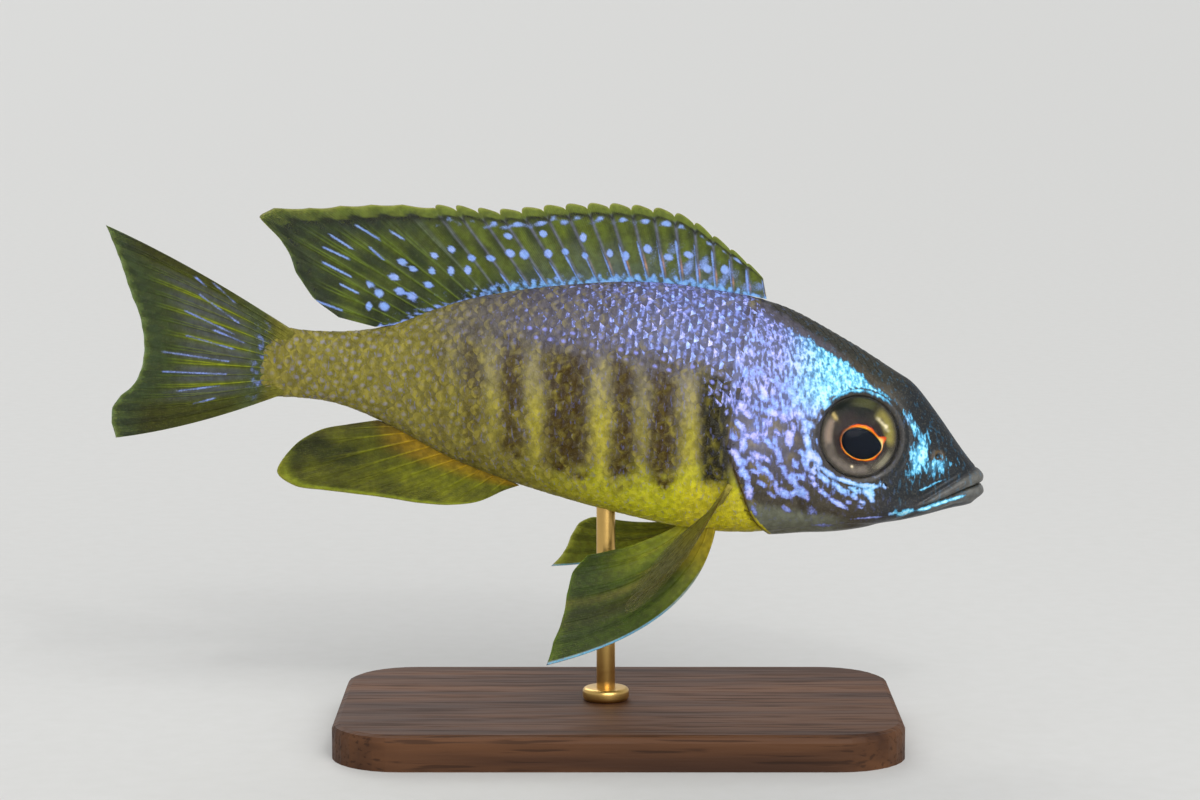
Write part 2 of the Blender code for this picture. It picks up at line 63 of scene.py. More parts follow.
# The floor. A plain pale studio floor of matt paint, far larger than the stand, so that it fills the
# view right out to its edge.
class Wire:
    """What a shader node gives out. Sums and products of wires are shader nodes too."""

    def __init__(self, socket):
        self.socket = socket

    def __add__(self, other):
        return maths("ADD", self, other)

    def __sub__(self, other):
        return maths("SUBTRACT", self, other)

    def __rsub__(self, other):
        return maths("SUBTRACT", other, self)

    def __mul__(self, other):
        return maths("MULTIPLY", self, other)

    def __pow__(self, other):
        return maths("POWER", self, other)


def put(socket, value):
    """Links a wire to a shader socket, or sets the socket's value."""
    if isinstance(value, Wire):
        socket.id_data.links.new(value.socket, socket)
    else:
        socket.default_value = value


def node(kind, inputs, output=0, tree=None, **settings):
    """Adds a shader node, in the tree that its wires come from unless a tree is given."""
    tree = tree or next(value.socket.id_data for value in inputs.values() if isinstance(value, Wire))
    made = tree.nodes.new("ShaderNode" + kind)
    for name, value in settings.items():
        setattr(made, name, value)
    for key, value in inputs.items():
        put(made.inputs[key], value)
    return Wire(made.outputs[output])


def paint(red, green, blue):
    """A colour as a paint chart gives it, from 0 to 255, made linear."""
    linear = [((c / 255 + 0.055) / 1.055) ** 2.4 if c > 10 else c / 3294 for c in (red, green, blue)]
    return (*linear, 1)


def mixed(share, low, high):
    """Two colours mixed, each a wire or a paint."""
    low, high = [value if isinstance(value, Wire) else paint(*value) for value in (low, high)]
    return node("Mix", {0: share, 6: low, 7: high}, 2, data_type="RGBA")


def maths(operation, first, second=0.0):
    return node("Math", {0: first, 1: second}, operation=operation)


def rise(value, low, high, start=0.0, end=1.0):
    """A smooth rise from start to end as the value goes from low to high."""
    inputs = {0: value, 1: low, 2: high, 3: start, 4: end}
    return node("MapRange", inputs, interpolation_type="SMOOTHSTEP")


def grain(tree, size, detail=2.0, stretch=(1, 1, 1), turn=(0, 0, 0)):
    """Noise of about this size, in metres on the piece's own place."""
    place = node("Mapping", {0: node("TexCoord", {}, 3, tree), 2: turn, 3: stretch})
    return node("TexNoise", {"Vector": place, "Scale": 1 / size, "Detail": detail})


def finish(name, plain_values):
    """A material with plain values on some sockets of its surface."""
    made = bpy.data.materials.new(name)
    made.use_nodes = True
    surface = made.node_tree.nodes["Principled BSDF"]
    for socket, value in plain_values.items():
        surface.inputs[socket].default_value = value
    return made, made.node_tree, surface


def dress(surface, height, depth, colour=None, **others):
    """Gives a surface a relief this deep in metres, its colour, and wires for other sockets by name."""
    put(surface.inputs["Normal"], node("Bump", {"Height": height, "Distance": depth}))
    if colour:
        put(surface.inputs["Base Color"], colour)
    for name, value in others.items():
        put(surface.inputs[name], value)


bpy.ops.mesh.primitive_plane_add(size=160)
floor = bpy.context.object
floor.name = "studio_floor"
bpy.ops.object.mode_set(mode="EDIT")
bpy.ops.mesh.subdivide(number_cuts=8)
bpy.ops.object.mode_set(mode="OBJECT")
matt_paint, tree, surface = finish("matt_floor_paint", {"Roughness": 0.75, "Specular IOR Level": 0.2})
roller = grain(tree, 0.004, 3)
dress(surface, roller, 0.00005, mixed(roller, (205, 204, 200), (211, 210, 207)))
floor.data.materials.append(matt_paint)


# The light. A broad soft sky from the upper right front, as even as a cloudy day, a soft box that gives
# the wet eye its highlight, and a dim light behind that draws the back's edge.
def lamp(name, kind, place, energy, **settings):
    """A lamp that shines from its place towards what the camera looks at."""
    made = bpy.data.lights.new(name, kind)
    made.energy = energy
    for setting, value in settings.items():
        setattr(made, setting, value)
    held = bpy.data.objects.new(name, made)
    scene.collection.objects.link(held)
    held.location = place
    held.rotation_euler = (AIM - held.location).to_track_quat("-Z", "Y").to_euler()


lamp("key_light", "SUN", AIM + Vector((0.25, -0.85, 0.55)), 2.0, angle=math.radians(50))
lamp("back_light", "SUN", AIM + Vector((-0.3, 0.8, 0.7)), 0.8, angle=math.radians(40))
lamp("soft_box", "AREA", Vector((0.12, -0.5, 0.42)), 0.45, shape="RECTANGLE", size=0.06, size_y=0.04)
world = bpy.data.worlds.new("studio")
world.use_nodes = True
sky = world.node_tree.nodes["Background"].inputs
sky["Color"].default_value = (0.9, 0.92, 0.95, 1)
sky["Strength"].default_value = 0.62
scene.world = world


# The skin. A fish's body under its scales is one unbroken moist skin over the muscle and the bones of
# the head, with the lips, nostrils, orbit, cheek and gill cover modelled in it. It is set out in the
# fish's own frame, in millimetres: behind the snout, to the left, and above the body's axis.
MM = 0.001
HEAD_DOWN = math.radians(9.6)
SNOUT_AT = (74.65, 0.0, 44.0)
SWAY_FROM = 62.0
SWAY_AT_TAIL_TIP = 5.5
TOTAL_LENGTH = 154.5
BACK = (
    (0, 0.2), (0.3, 1.2), (0.8, 2.2), (2.2, 3.5), (4.3, 5.5), (8.4, 9.7), (12.5, 13.6), (14.5, 15.1),
    (17, 16.2), (25.7, 19.9), (36.7, 23.9), (46, 25.0), (61, 24.6), (76, 21.5), (89, 17.4),
    (97, 13.6), (103.5, 9.8), (110, 7.6), (120, 6.3), (125, 7.6),
)
MIDLINE = (
    (0, -0.8), (4.5, -3.0), (9.1, -5.3), (14, -5.6), (22, -4.0), (34, -1.0), (50, 1.8), (70, 3.0),
    (95, 2.0), (120, 0.2),
)
MOUTH = ((-1, 0.4), (0, -0.1), (1.2, -0.6), (3.4, -1.75), (6, -3.3), (9.2, -5.0), (12, -6.0), (14, -6.5))
LIP_TOP = ((0, 2.8), (1, 2.8), (3.5, 2.3), (7, 1.6), (10.6, 0.5))
LIP_FOOT = ((0, 3.2), (1, 2.9), (3, 2.2), (5, 1.8), (8, 1.5), (10.6, 0.5))
BELLY = (
    (0, -1.8), (0.3, -2.9), (0.8, -3.9), (4.1, -5.2), (12.2, -8.6), (22, -12.2), (32, -14.2),
    (45, -16.1), (59, -15.7), (77, -13.7), (89.5, -11.2), (102, -7.1), (111, -5.3), (120, -5.9),
    (125, -7.4),
)
HALF_WIDTH = (
    (0, 1.0), (0.3, 2.0), (0.8, 2.9), (2.2, 3.8), (4.3, 4.7), (9, 6.0), (14, 7.0), (21, 8.2), (30, 9.4),
    (40, 10.1), (52, 10.0), (65, 9.2), (80, 7.3), (95, 4.9), (108, 3.0), (116, 2.2), (120, 1.7),
    (123.5, 0.7), (125, 0.1),
)
BACK_SHARPNESS = 1.15
BELLY_SHARPNESS = 0.85
SKIN_END = 125.0
COAT_DEPTH = 0.15
EYE_AT = (22.2, 7.0, 5.0)
EYE_TURNED = math.radians(9)
ORBIT_RADIUS = 7.0
SOCKET_DEPTH = 5.2
GILL_EDGE = (
    (-15, 33.2), (-12.7, 36.4), (-10.4, 38.4), (-7.1, 40.2), (-4.5, 41.6), (-1.7, 42.9), (1.6, 43.6),
    (7.7, 43.5), (17.4, 42.1), (24.3, 39.6), (30, 38.3),
)
PORES = ((12.9, 2.6), (12.7, -0.4), (14.4, -2.9), (17.2, -4.8), (27.4, -9.3), (24, -8.9), (28.9, -6.2))
NOSTRIL_AT = (8.1, 3.6)
JAW_LINE = ((9, -5.6), (15.5, -9.6), (20, -10.3), (27, -12.0), (34, -13.9))
CHEEK_EDGE = ((-12, 26.5), (-6.4, 29.6), (0, 30.9), (4, 31.2), (9, 30.4))
GILL_RING = 41.0
ROWS_ABOVE = 78
ROWS_BELOW = 58
ROWS_ROUND = 2 * (ROWS_ABOVE + ROWS_BELOW)


def through(points, x):
    """The heights at x of the smooth curve through points."""
    xs, ys = np.array(points, float).T
    ahead_x, ahead_y = np.append(xs[1:], xs[-1]), np.append(ys[1:], ys[-1])
    behind_x, behind_y = np.append(xs[0], xs[:-1]), np.append(ys[0], ys[:-1])
    slope = (ahead_y - behind_y) / (ahead_x - behind_x)
    i = np.clip(np.searchsorted(xs, x, side="right") - 1, 0, len(xs) - 2)
    run = xs[i + 1] - xs[i]
    t = np.clip((x - xs[i]) / run, 0, 1)
    return (
        ys[i] * (1 + 2 * t) * (1 - t) ** 2
        + ys[i + 1] * t * t * (3 - 2 * t)
        + run * t * (1 - t) * (slope[i] * (1 - t) - slope[i + 1] * t)
    )


def eased(t):
    """A smooth step from 0 to 1."""
    t = np.clip(t, 0, 1)
    return t * t * (3 - 2 * t)


def past(value, start, width):
    """A smooth step up from 0 to 1, over this width from start."""
    return eased((value - start) / width)


def short_of(value, end, width):
    """A smooth step down from 1 to 0, over this width up to end."""
    return eased((end - value) / width)


def hill(distance, width):
    """A round hill 1 high at distance 0."""
    return np.exp(-((distance / width) ** 2))


def patch(x, wide, y, high):
    """A soft oval patch, 1 in its middle, from how far a place lies from the middle both ways."""
    return hill(np.hypot(x / wide, y / high), 1.0)


def unit(vectors):
    return vectors / np.maximum(np.linalg.norm(vectors, axis=-1, keepdims=True), 1e-9)


def walked(line):
    """How far along a line of points each of them lies."""
    return np.append(0, np.cumsum(np.linalg.norm(np.diff(line, axis=0), axis=1)))


def world_place(places):
    """Points of the fish (behind, left, above) as metres in the world."""
    behind, left, above = np.moveaxis(np.asarray(places, float), -1, 0)
    swayed = np.clip((behind - SWAY_FROM) / (TOTAL_LENGTH - SWAY_FROM), 0, None)
    left = left + SWAY_AT_TAIL_TIP * swayed**2
    x = SNOUT_AT[0] - behind * math.cos(HEAD_DOWN) + above * math.sin(HEAD_DOWN)
    z = SNOUT_AT[2] + behind * math.sin(HEAD_DOWN) + above * math.cos(HEAD_DOWN)
    return np.stack((x, left, z), -1) * MM


DRAWN_FROM = (9.9, -564.3, 127.3)


def laid_flat(places):
    """Where points of the round flank fall on the flat side view that the markings were drawn on."""
    x, y, z = np.moveaxis(world_place(places) / MM, -1, 0)
    reach = DRAWN_FROM[1] / (DRAWN_FROM[1] - y)
    back = SNOUT_AT[0] - DRAWN_FROM[0] - (x - DRAWN_FROM[0]) * reach
    up = DRAWN_FROM[2] + (z - DRAWN_FROM[2]) * reach - SNOUT_AT[2]
    c, s = math.cos(HEAD_DOWN), math.sin(HEAD_DOWN)
    return back * c + up * s, up * c - back * s


def body(behind, turn):
    """The body's plain surface: turn is 0 along the back, a quarter turn along the right midline."""
    middle = through(MIDLINE, behind)
    upper = np.cos(turn) > 0
    reach = np.where(upper, through(BACK, behind) - middle, middle - through(BELLY, behind))
    sharpness = 1 + (np.where(upper, BACK_SHARPNESS, BELLY_SHARPNESS) - 1) * np.abs(np.cos(turn))
    out = through(HALF_WIDTH, behind) * np.abs(np.sin(turn)) ** sharpness
    return np.stack((behind, -np.sign(np.sin(turn)) * out, middle + reach * np.cos(turn)), -1)


def even_turns(behind, shares):
    """Turns that share out a section's skin evenly: 0 at the back, 1 at the midline, 2 at the belly."""
    fine = np.linspace(0, 1, 60)
    turns = np.empty(np.broadcast(behind, shares).shape)
    for i, s in enumerate(behind[:, 0]):
        for quarter in (0, 1):
            steps = (quarter + fine) * math.pi / 2
            line = body(np.full(60, s), steps)
            along = walked(line)
            part = (shares[0] >= quarter) & (shares[0] <= quarter + 1)
            turns[i, part] = np.interp((shares[0, part] - quarter) * along[-1], along, steps)
    return turns


def orbit_axes():
    """The right eye's own forward, up and outward directions, as (forward, left, up)."""
    c, s = math.cos(EYE_TURNED), math.sin(EYE_TURNED)
    out = np.array((s * c, -c * c, s))
    forward = np.array((c, s, 0.0))
    return np.array((forward, np.cross(out, forward), out))


ORBIT_AXES = orbit_axes()


def seen_by_eye(places):
    """Points of the right flank as (forward, up, out) of the right eye's middle."""
    behind, left, above = np.moveaxis(places, -1, 0)
    offset = np.stack((EYE_AT[0] - behind, left + EYE_AT[1], above - EYE_AT[2]), -1)
    return offset @ ORBIT_AXES.T


def lip_relief(behind, above):
    """The two lips, the cleft between them, and the folds of skin over and under them."""
    from_mouth = above - through(MOUTH, behind)
    lip_top, lip_foot = through(LIP_TOP, behind), through(LIP_FOOT, behind)
    upper = hill((from_mouth - 0.5 * lip_top) / lip_top, 0.42)
    lower = hill((from_mouth + 0.48 * lip_foot) / lip_foot, 0.4)
    lips = (1 - past(behind, 8.2, 2.6)) * (0.42 * upper + 0.45 * lower)
    cleft = -0.7 * hill(from_mouth, 0.2) * (1 - past(behind, 9.0, 1.2))
    over = 0.22 * hill(from_mouth - lip_top - 0.1, 0.3) * (1 - past(behind, 10, 1.5)) * eased(behind / 1.5)
    under = 0.14 * hill(from_mouth + lip_foot, 0.3) * (1 - past(behind, 8.5, 2.5)) * past(behind, 2, 2)
    higher = 0.1 * hill(from_mouth - lip_top - 1.3, 0.3) * past(behind, 3, 3) * (1 - past(behind, 9, 3))
    return lips + cleft + (-over - under - higher)


def orbit_relief(from_eye):
    """The raised rim round the eye, with a groove on either side of it."""
    rim = np.where(from_eye < ORBIT_RADIUS, 0, from_eye - ORBIT_RADIUS)
    return 0.2 * hill(rim - 0.85, 0.45) - 0.16 * np.exp(-rim / 0.25) - 0.1 * hill(rim - 1.7, 0.3)


def gill_cover_relief(behind, above):
    """The gill cover's plate, raised towards its rear edge, and the slit behind it."""
    from_gill = behind - through(GILL_EDGE, above)
    cover = 0.5 * eased(1 + from_gill / 9) * short_of(above, 15, 6) * (from_gill <= 0.05)
    slit = -0.4 * np.exp(-np.clip(from_gill, 0, None) / 0.9) * (from_gill > 0.05) * short_of(above, 16, 6)
    return cover + slit


def cheek_relief(behind, above):
    """The cheek's bone, raised along its rear edge, with a groove between it and the gill cover."""
    from_cheek = behind - through(CHEEK_EDGE, above)
    height = short_of(above, 7, 5) * past(above, -9, 4)
    cheek = 0.3 * eased(1 + from_cheek / 4) * eased(1 - from_cheek / 1.6) * height
    return cheek - 0.22 * hill(from_cheek - 1.5, 0.5) * short_of(above, 7, 5) * past(above, -12, 3)


def relief(behind, above, from_eye):
    """How far the flesh stands out of the plain body, in millimetres."""
    nostril = np.hypot(behind - NOSTRIL_AT[0], above - NOSTRIL_AT[1])
    nostrils = 0.14 * hill(nostril - 0.85, 0.3) - 0.8 * hill(nostril, 0.42)
    from_jaw = above - through(JAW_LINE, behind)
    jaw_groove = -0.22 * hill(from_jaw, 0.35) * past(behind, 9.5, 2) * (1 - past(behind, 33, 3))
    pores = 0
    for s, h in PORES:
        pores = pores - 0.28 * hill(np.hypot(behind - s, above - h), 0.3)
    return (
        lip_relief(behind, above) + nostrils + orbit_relief(from_eye) + gill_cover_relief(behind, above)
        + cheek_relief(behind, above) + jaw_groove + pores
    )


def pout(above):
    """How far the two lips bulge forward at the snout's tip, by height."""
    from_mouth = above - MOUTH[1][1]
    return (
        0.48 * hill(from_mouth - 1.2, 1.25) + 0.62 * hill(from_mouth + 1.3, 1.2)
        - 0.4 * hill(from_mouth, 0.24)
    )


def across_photo(behind, above):
    """How far behind the snout a point lies as the photo is level, which the flank's bars follow."""
    return behind * math.cos(HEAD_DOWN) - above * math.sin(HEAD_DOWN)


def uneven(x, y, size, seed):
    """Soft patches of about this size, from -1 to 1."""
    draw = np.random.default_rng(seed)
    ways, starts, steps = [draw.uniform(low, high, 10) for low, high in ((0, 6.28), (0, 6.28), (0.6, 1.6))]
    total = 0
    for way, start, fine in zip(ways, starts, steps):
        total = total + np.sin((x * math.cos(way) + y * math.sin(way)) * fine * 3.5 / size + start)
    return np.clip(total / 4, -1, 1)


def plain(places, coat):
    """The same paint at all of these places."""
    return np.broadcast_to(np.array(paint(*coat)), places.shape + (4,))


def toward(colour, coat, share):
    """A paint laid over the colour, by share."""
    share = np.clip(share, 0, 1)[..., None]
    return colour * (1 - share) + np.array(paint(*coat)) * share


def layers(colour, *coats):
    """Paints laid over the colour one after another, each with its share."""
    for coat, share in coats:
        colour = toward(colour, coat, share)
    return colour


# The pigments of the flank and head.
CROWN = (44, 44, 36)
FOREHEAD = (24, 30, 35)
CHEEK = (72, 66, 54)
CHIN = (44, 46, 50)
SLATE_LILAC = (88, 86, 106)
DUN = (98, 89, 60)
GOLD = (212, 210, 26)
OLD_GOLD = (116, 108, 40)
PEDUNCLE = (126, 122, 40)
LEMON = (176, 166, 52)
BRONZE = (60, 44, 8)
SOOT = (30, 27, 8)
PALE = (164, 154, 104)
LIP_GREY = (102, 102, 98)
BARS = (
    (45.0, 2.7, 1.2), (54.0, 2.2, 0.9), (61.0, 2.1, 0.85), (70.6, 4.0, 0.9), (79.8, 2.2, 0.75),
    (86.6, 1.7, 0.45), (92.5, 1.5, 0.25),
)
STRIPES = ((49.5, 1.35, 1.0), (57.4, 0.9, 0.45), (64.5, 1.5, 1.0), (75.7, 1.2, 0.9), (83.2, 1.3, 0.6))
GOLD_EDGE = ((40, -6.5), (55, -8.5), (70, -9.5), (82, -6), (92, 3), (100, 12), (123, 14))
NAPE_EDGE = (
    (3, 1.6), (6, 3.8), (8, 5.2), (10, 6.7), (12, 8.4), (14, 10.8), (16.5, 12.6), (20, 13.6), (25, 16.8),
    (30, 18.9), (35, 20.9), (41, 23.4), (45, 25.6),
)


def headward(behind, above):
    """1 on the head and 0 on the trunk: sharp along the gill cover's edge, soft over the nape."""
    low = short_of(above, 13, 4)
    on_cover = behind - through(GILL_EDGE, above) <= 0.05
    return on_cover * low + eased((40 - behind + above / 3) / 6) * (1 - low)


def flank_paint(behind, above, patchy, fine):
    """The trunk's paint: dun and lilac above, gold below, with pale stripes and dark bars between."""
    gold = eased((through(GOLD_EDGE, behind) + 3.5 + 1.5 * patchy - above) / 6)
    wobble = across_photo(behind, above) + 0.45 * patchy + 0.25 * fine
    span = eased((12.5 - above + 2 * fine) / 5) * eased((above + 12 + 2 * fine) / 4)
    colour = layers(
        plain(behind, DUN),
        (OLD_GOLD, eased((behind - 74 - 6 * patchy) / 16) * 0.8),
        (PEDUNCLE, past(behind, 92, 12)),
        (SLATE_LILAC, eased((above - 6 + 2 * patchy) / 7) * (1 - past(behind, 72, 30)) * 0.95),
        ((82, 78, 88), past(above, -3, 9) * past(behind, 46, 8) * (1 - past(behind, 88, 14)) * 0.54),
    )
    for place, half, strength in STRIPES:
        stripe = strength * hill(wobble - place, half) * short_of(above, 12, 5)
        colour = layers(
            colour,
            (PALE, stripe * 0.8 * past(above, -2, 6)),
            (LEMON, stripe * short_of(above, 6, 7)),
        )
    bright_gold = toward(plain(behind, GOLD), OLD_GOLD, past(behind, 50, 34))
    colour = colour + (bright_gold - colour) * np.clip(gold * 0.92, 0, 1)[..., None]
    for place, half, strength in BARS:
        bar = 1.2 * strength * np.exp(-np.abs((wobble - place) / half) ** 3.2) * span * (0.88 + 0.12 * fine)
        colour = toward(colour, SOOT if place < 50 else BRONZE, bar)
    flecks = eased((uneven(behind * 1.9, above * 0.45, 1.2, 7) - 0.2) / 0.6)
    return toward(colour, LEMON, flecks * span * 0.2)


def head_layers(behind, above, patchy, fine, head):
    """The paints of the cheek, chin, throat, breast and crown, each with its share."""
    olive = past(uneven(behind, above, 2.2, 8), 0.2, 0.4)
    mauve = patch(behind - 38, 5, above - 2.5, 4) * (0.7 + 0.3 * patchy)
    throat = head * past(behind, 19, 6) * short_of(above, -9.3, 2)
    breast = (1 - head) * short_of(above, -7, 3) * (1 - past(behind, 47, 6))
    dark = above - through(NAPE_EDGE, behind) + 0.5 * fine
    return (
        (CHEEK, head),
        (SLATE_LILAC, head * past(behind, 24, 6) * past(above, -7, 4) * 0.6),
        ((120, 106, 60), head * past(behind, 30, 4) * olive * short_of(above, 13, 4) * 0.8),
        ((160, 158, 178), head * mauve * 0.55),
        (CHIN, head * short_of(behind, 20, 6) * short_of(above, 2, 3)),
        ((118, 122, 104), throat * 0.95),
        ((220, 208, 40), breast * 0.95),
        (CROWN, eased(dark) * (1 - past(behind, 44, 2))),
    )


def face_layers(behind, above, fine, head, seat):
    """The paints that follow the face's relief: lips, folds, gill slit, orbit and nostril."""
    seat_behind, seat_above = seat
    from_mouth = seat_above - through(MOUTH, seat_behind)
    lip_top, lip_foot = through(LIP_TOP, seat_behind), through(LIP_FOOT, seat_behind)
    lips = eased((lip_top - from_mouth + 0.1) / 0.6) * eased((from_mouth + lip_foot + 0.3) / 0.7)
    lips = lips * (1 - past(seat_behind, 7, 3.5))
    # Painted shade: two fine dark lines along the lips, where their creases would be shaded.
    crease_shade = hill(from_mouth - 0.55 * lip_top, 0.14) + hill(from_mouth - 0.28 * lip_top, 0.1)
    gill_line = hill(seat_behind - through(GILL_EDGE, seat_above) - 0.1, 0.3)
    orbit = np.hypot(seat_behind - EYE_AT[0], seat_above - EYE_AT[2])
    nostril = np.hypot(seat_behind - NOSTRIL_AT[0], seat_above - NOSTRIL_AT[1])
    return (
        (FOREHEAD, head * short_of(behind, 19, 6) * past(from_mouth, 1.0, 1.5)),
        (LIP_GREY, lips * (0.82 + 0.18 * fine)),
        ((70, 66, 66), crease_shade * lips * past(seat_behind, 1.5, 2) * 0.6),
        # Painted shade: black in the cleft between the lips, and dark grey in the groove over the upper lip.
        (SOOT, hill(from_mouth, 0.2) * (1 - past(seat_behind, 9, 1.5)) * 0.95),
        ((56, 56, 58), hill(from_mouth - lip_top - 0.1, 0.28) * (1 - past(seat_behind, 10, 2)) * 0.7),
        ((74, 40, 24), gill_line * short_of(above, -3, 3) * 0.9),
        # Painted shade: a dark ring round the rim of the eye's socket.
        ((54, 51, 48), hill(orbit - 7.4, 0.6) * 0.88),
        ((120, 96, 60), hill(nostril - 0.7, 0.35) * 0.7),
        # Painted shadow: black inside the nostril's pit.
        (SOOT, hill(nostril, 0.4)),
    )


def pigment(behind, above, seat):
    """The paint of the skin and of the scales over it, by the side view and by the body's own places."""
    patchy = uneven(behind, above, 5, 1)
    fine = uneven(behind * 1.6, above * 0.8, 1.6, 2)
    head = headward(behind, above)
    ridge = short_of(through(BACK, behind) - above, 1.0, 1.6) * 0.5 * past(behind, 44, 3)
    return layers(
        flank_paint(behind, above, patchy, fine),
        *head_layers(behind, above, patchy, fine, head),
        *face_layers(behind, above, fine, head, seat),
        (CROWN, ridge),
    )


# Where single large pearly strokes lie on the cheek and gill cover, as (behind, above, half length,
# half width, lean from level, strength).
STROKES = (
    (41.3, -3.0, 1.7, 0.55, 58, 1), (39.6, -5.4, 1.5, 0.5, 50, 0.9), (31.0, -5.2, 1.6, 0.42, 68, 1),
    (30.2, -7.2, 0.9, 0.4, 10, 0.8), (36.6, 0.6, 1.4, 0.45, 40, 0.8), (34.6, -1.2, 1.4, 0.42, 50, 0.8),
    (33.0, -3.8, 1.2, 0.4, 65, 0.7), (37.4, -3.9, 1.2, 0.4, 60, 0.7), (35.3, -5.0, 1.0, 0.4, 50, 0.6),
    (33.3, 2.6, 0.8, 0.55, 20, 0.9), (36.9, 5.8, 1.3, 0.6, 10, 1), (42.2, 6.0, 1.0, 0.6, 60, 0.9),
    (38.9, 8.0, 1.0, 0.5, 30, 0.8), (40.6, 1.2, 1.1, 0.45, 25, 0.7), (38.2, 1.7, 0.9, 0.4, 20, 0.6),
    (30.9, 4.0, 0.8, 0.55, 70, 0.8), (29.4, -0.4, 1.1, 0.7, 80, 0.9), (31.6, -10.2, 0.9, 0.4, 20, 0.5),
    (25.6, -2.9, 1.7, 0.34, 26, 1.05), (22.2, -3.8, 2.0, 0.32, 10, 1.1), (18.5, -3.9, 1.9, 0.32, -6, 1.1),
    (28.2, -3.1, 0.7, 0.36, 26, 0.9), (26.2, -3.9, 1.2, 0.46, 33, 0.95), (23.8, -4.7, 0.9, 0.32, 22, 0.9),
    (22.9, -5.4, 1.3, 0.46, 28, 0.95), (20.7, -5.0, 1.0, 0.34, 20, 0.9), (18.2, -5.1, 1.1, 0.6, 13, 1.0),
    (17.6, -6.1, 0.6, 0.34, 14, 0.85), (20.5, -6.2, 0.7, 0.38, 32, 0.85), (27.5, -5.2, 0.5, 0.34, 34, 0.85),
    (25.8, -6.4, 1.1, 0.33, 25, 0.9), (23.1, -7.8, 1.6, 0.36, 21, 1.0), (21.3, -7.3, 0.45, 0.32, 27, 0.8),
    (18.9, -6.9, 0.6, 0.29, 16, 0.8), (16.0, -3.4, 0.7, 0.29, 32, 0.7), (19.2, -7.8, 0.45, 0.2, 14, 0.75),
    (27.2, -9.9, 0.9, 0.6, 20, 0.35), (38.3, -8.8, 0.9, 0.5, 75, 0.7), (37.0, -11.4, 0.8, 0.35, 60, 0.5),
    (34.6, -8.2, 0.8, 0.35, 30, 0.5), (11.4, -7.4, 1.3, 0.35, 152, 0.9),
    (13.4, -7.9, 0.8, 0.3, 155, 0.5), (17.6, -9.4, 2.4, 0.16, 166, 0.5), (8.2, -6.2, 1.1, 0.3, 155, 0.85),
    (5.8, -4.8, 2.0, 0.28, 153, 0.86), (3.2, -3.5, 1.3, 0.24, 153, 0.8), (7.0, -1.4, 1.2, 0.12, 150, 0.5),
    (8.6, -2.6, 1.2, 0.14, 146, 0.55), (24.8, -11.9, 1.6, 0.2, 172, 0.4),
)


# Places on the gill cover and cheek that stay bare and show the brown and olive skin, with their radii.
BARE_PATCHES = (
    (37.6, -0.4, 1.3), (34.8, -8.6, 2.0), (38.2, -6.4, 1.3), (33.2, -1.2, 0.9), (29.6, -9.0, 1.6),
    (35.6, 3.4, 0.9), (31.9, 1.2, 0.8), (28.0, -7.2, 1.0), (41.0, 3.6, 0.9), (40.4, -8.2, 1.0),
    (24.6, -9.6, 2.0), (32.2, -6.2, 0.7),
)


def bareness(behind, above):
    """How bare of pearly marks a place is, 1 in the middle of a bare patch."""
    bare = 0
    for s, h, radius in BARE_PATCHES:
        bare = np.maximum(bare, eased(1.5 - np.hypot(behind - s, above - h) / radius))
    return bare


def scattered_strokes():
    """Many more short strokes on the gill cover and cheek, none too near another."""
    draw = np.random.default_rng(31)
    placed = []
    for _ in range(3000):
        s, h = draw.uniform(27.5, 45.6), draw.uniform(-10, 12)
        size, strength = draw.uniform(0.45, 1.0), draw.uniform(0.65, 1.0)
        past_gill = s - float(through(GILL_EDGE, h))
        too_low = h < -9 + 0.25 * abs(s - 34)
        if too_low or past_gill > 1.8 or bareness(s, h) > 0.3 or (h < 2 and past_gill > -0.2):
            continue
        if past_gill > 0:
            size, strength = 0.4 * size, 0.6 * strength
        if all(math.hypot(s - a, (h - b) * 0.8) > 1.1 + 0.95 * size for a, b, *_ in placed):
            placed.append((s, h, size * draw.uniform(1.0, 1.8), 0.66 * size, draw.uniform(20, 85), strength))
    return tuple(placed)


MORE_STROKES = scattered_strokes()


CROWN_EDGE = ((15, 12.6), (17, 10.6), (21.6, 10), (25, 8.6), (28, 6), (31, 4.4), (36, 3.6), (44, 4), (60, 9))


def head_cover(behind, above, from_eye, patchy):
    """How thickly pearly marks lie on the crown, the snout, round the eye, the cheek and the jaw."""
    cover_bone = behind - through(GILL_EDGE, above) <= 0.05
    head = cover_bone | (above > 10)
    nape = eased((through(NAPE_EDGE, behind) - above - 0.2 * patchy) / 1.4)
    line = through(CROWN_EDGE, behind)
    crown = nape * past(above, line, 2) * past(behind, 15.5, 2.5) * (1 - past(behind, 46, 6))
    snout = np.maximum(
        1.12 * patch(behind - 10.9 + 0.1 * above, 1.6, above - 2.6, 3.6),
        0.7 * patch(behind - 7.8, 3.5, above - 1.3 - 0.3 * (8 - behind), 1.9),
    )
    beside_eye = 0.78 * patch(behind - 12.5 - (above - 7.4) * 0.85, 1.25, above - 7.2, 3.6)
    under_eye = hill(from_eye - 9.0, 1.6) * short_of(above, 1.5, 3) * past(behind, 15.5, 1.5)
    under_eye = under_eye * (0.42 + 0.3 * uneven(behind, above, 1.3, 13))
    lower = 0.3 * patch(behind - 20.5, 4.2, above + 4.9 - (behind - 20.5) * 0.12, 1.5)
    cheek = 0.27 + 0.22 * uneven(behind, above, 2.4, 12) + 0.16 * past(above, 1, 6)
    cheek = cheek + 0.24 * hill(np.hypot(behind - 38.5, above - 2) / 4.5, 1)
    cheek = cheek * past(behind, 28.3, 1.5) * past(above, -9, 2) * short_of(above, 11, 3)
    jaw = 0.2 * past(behind, 21, 3) * past(above, -12, 2) * short_of(above, 0, 3)
    cover = crown * (0.92 - 0.3 * past(behind, 30, 9))
    for mark in (snout, beside_eye, under_eye, lower):
        cover = np.maximum(cover, mark * head)
    for mark in (cheek, jaw):
        cover = np.maximum(cover, mark * cover_bone)
    return cover * (1 - 0.8 * bareness(behind, above) * (above < 7))


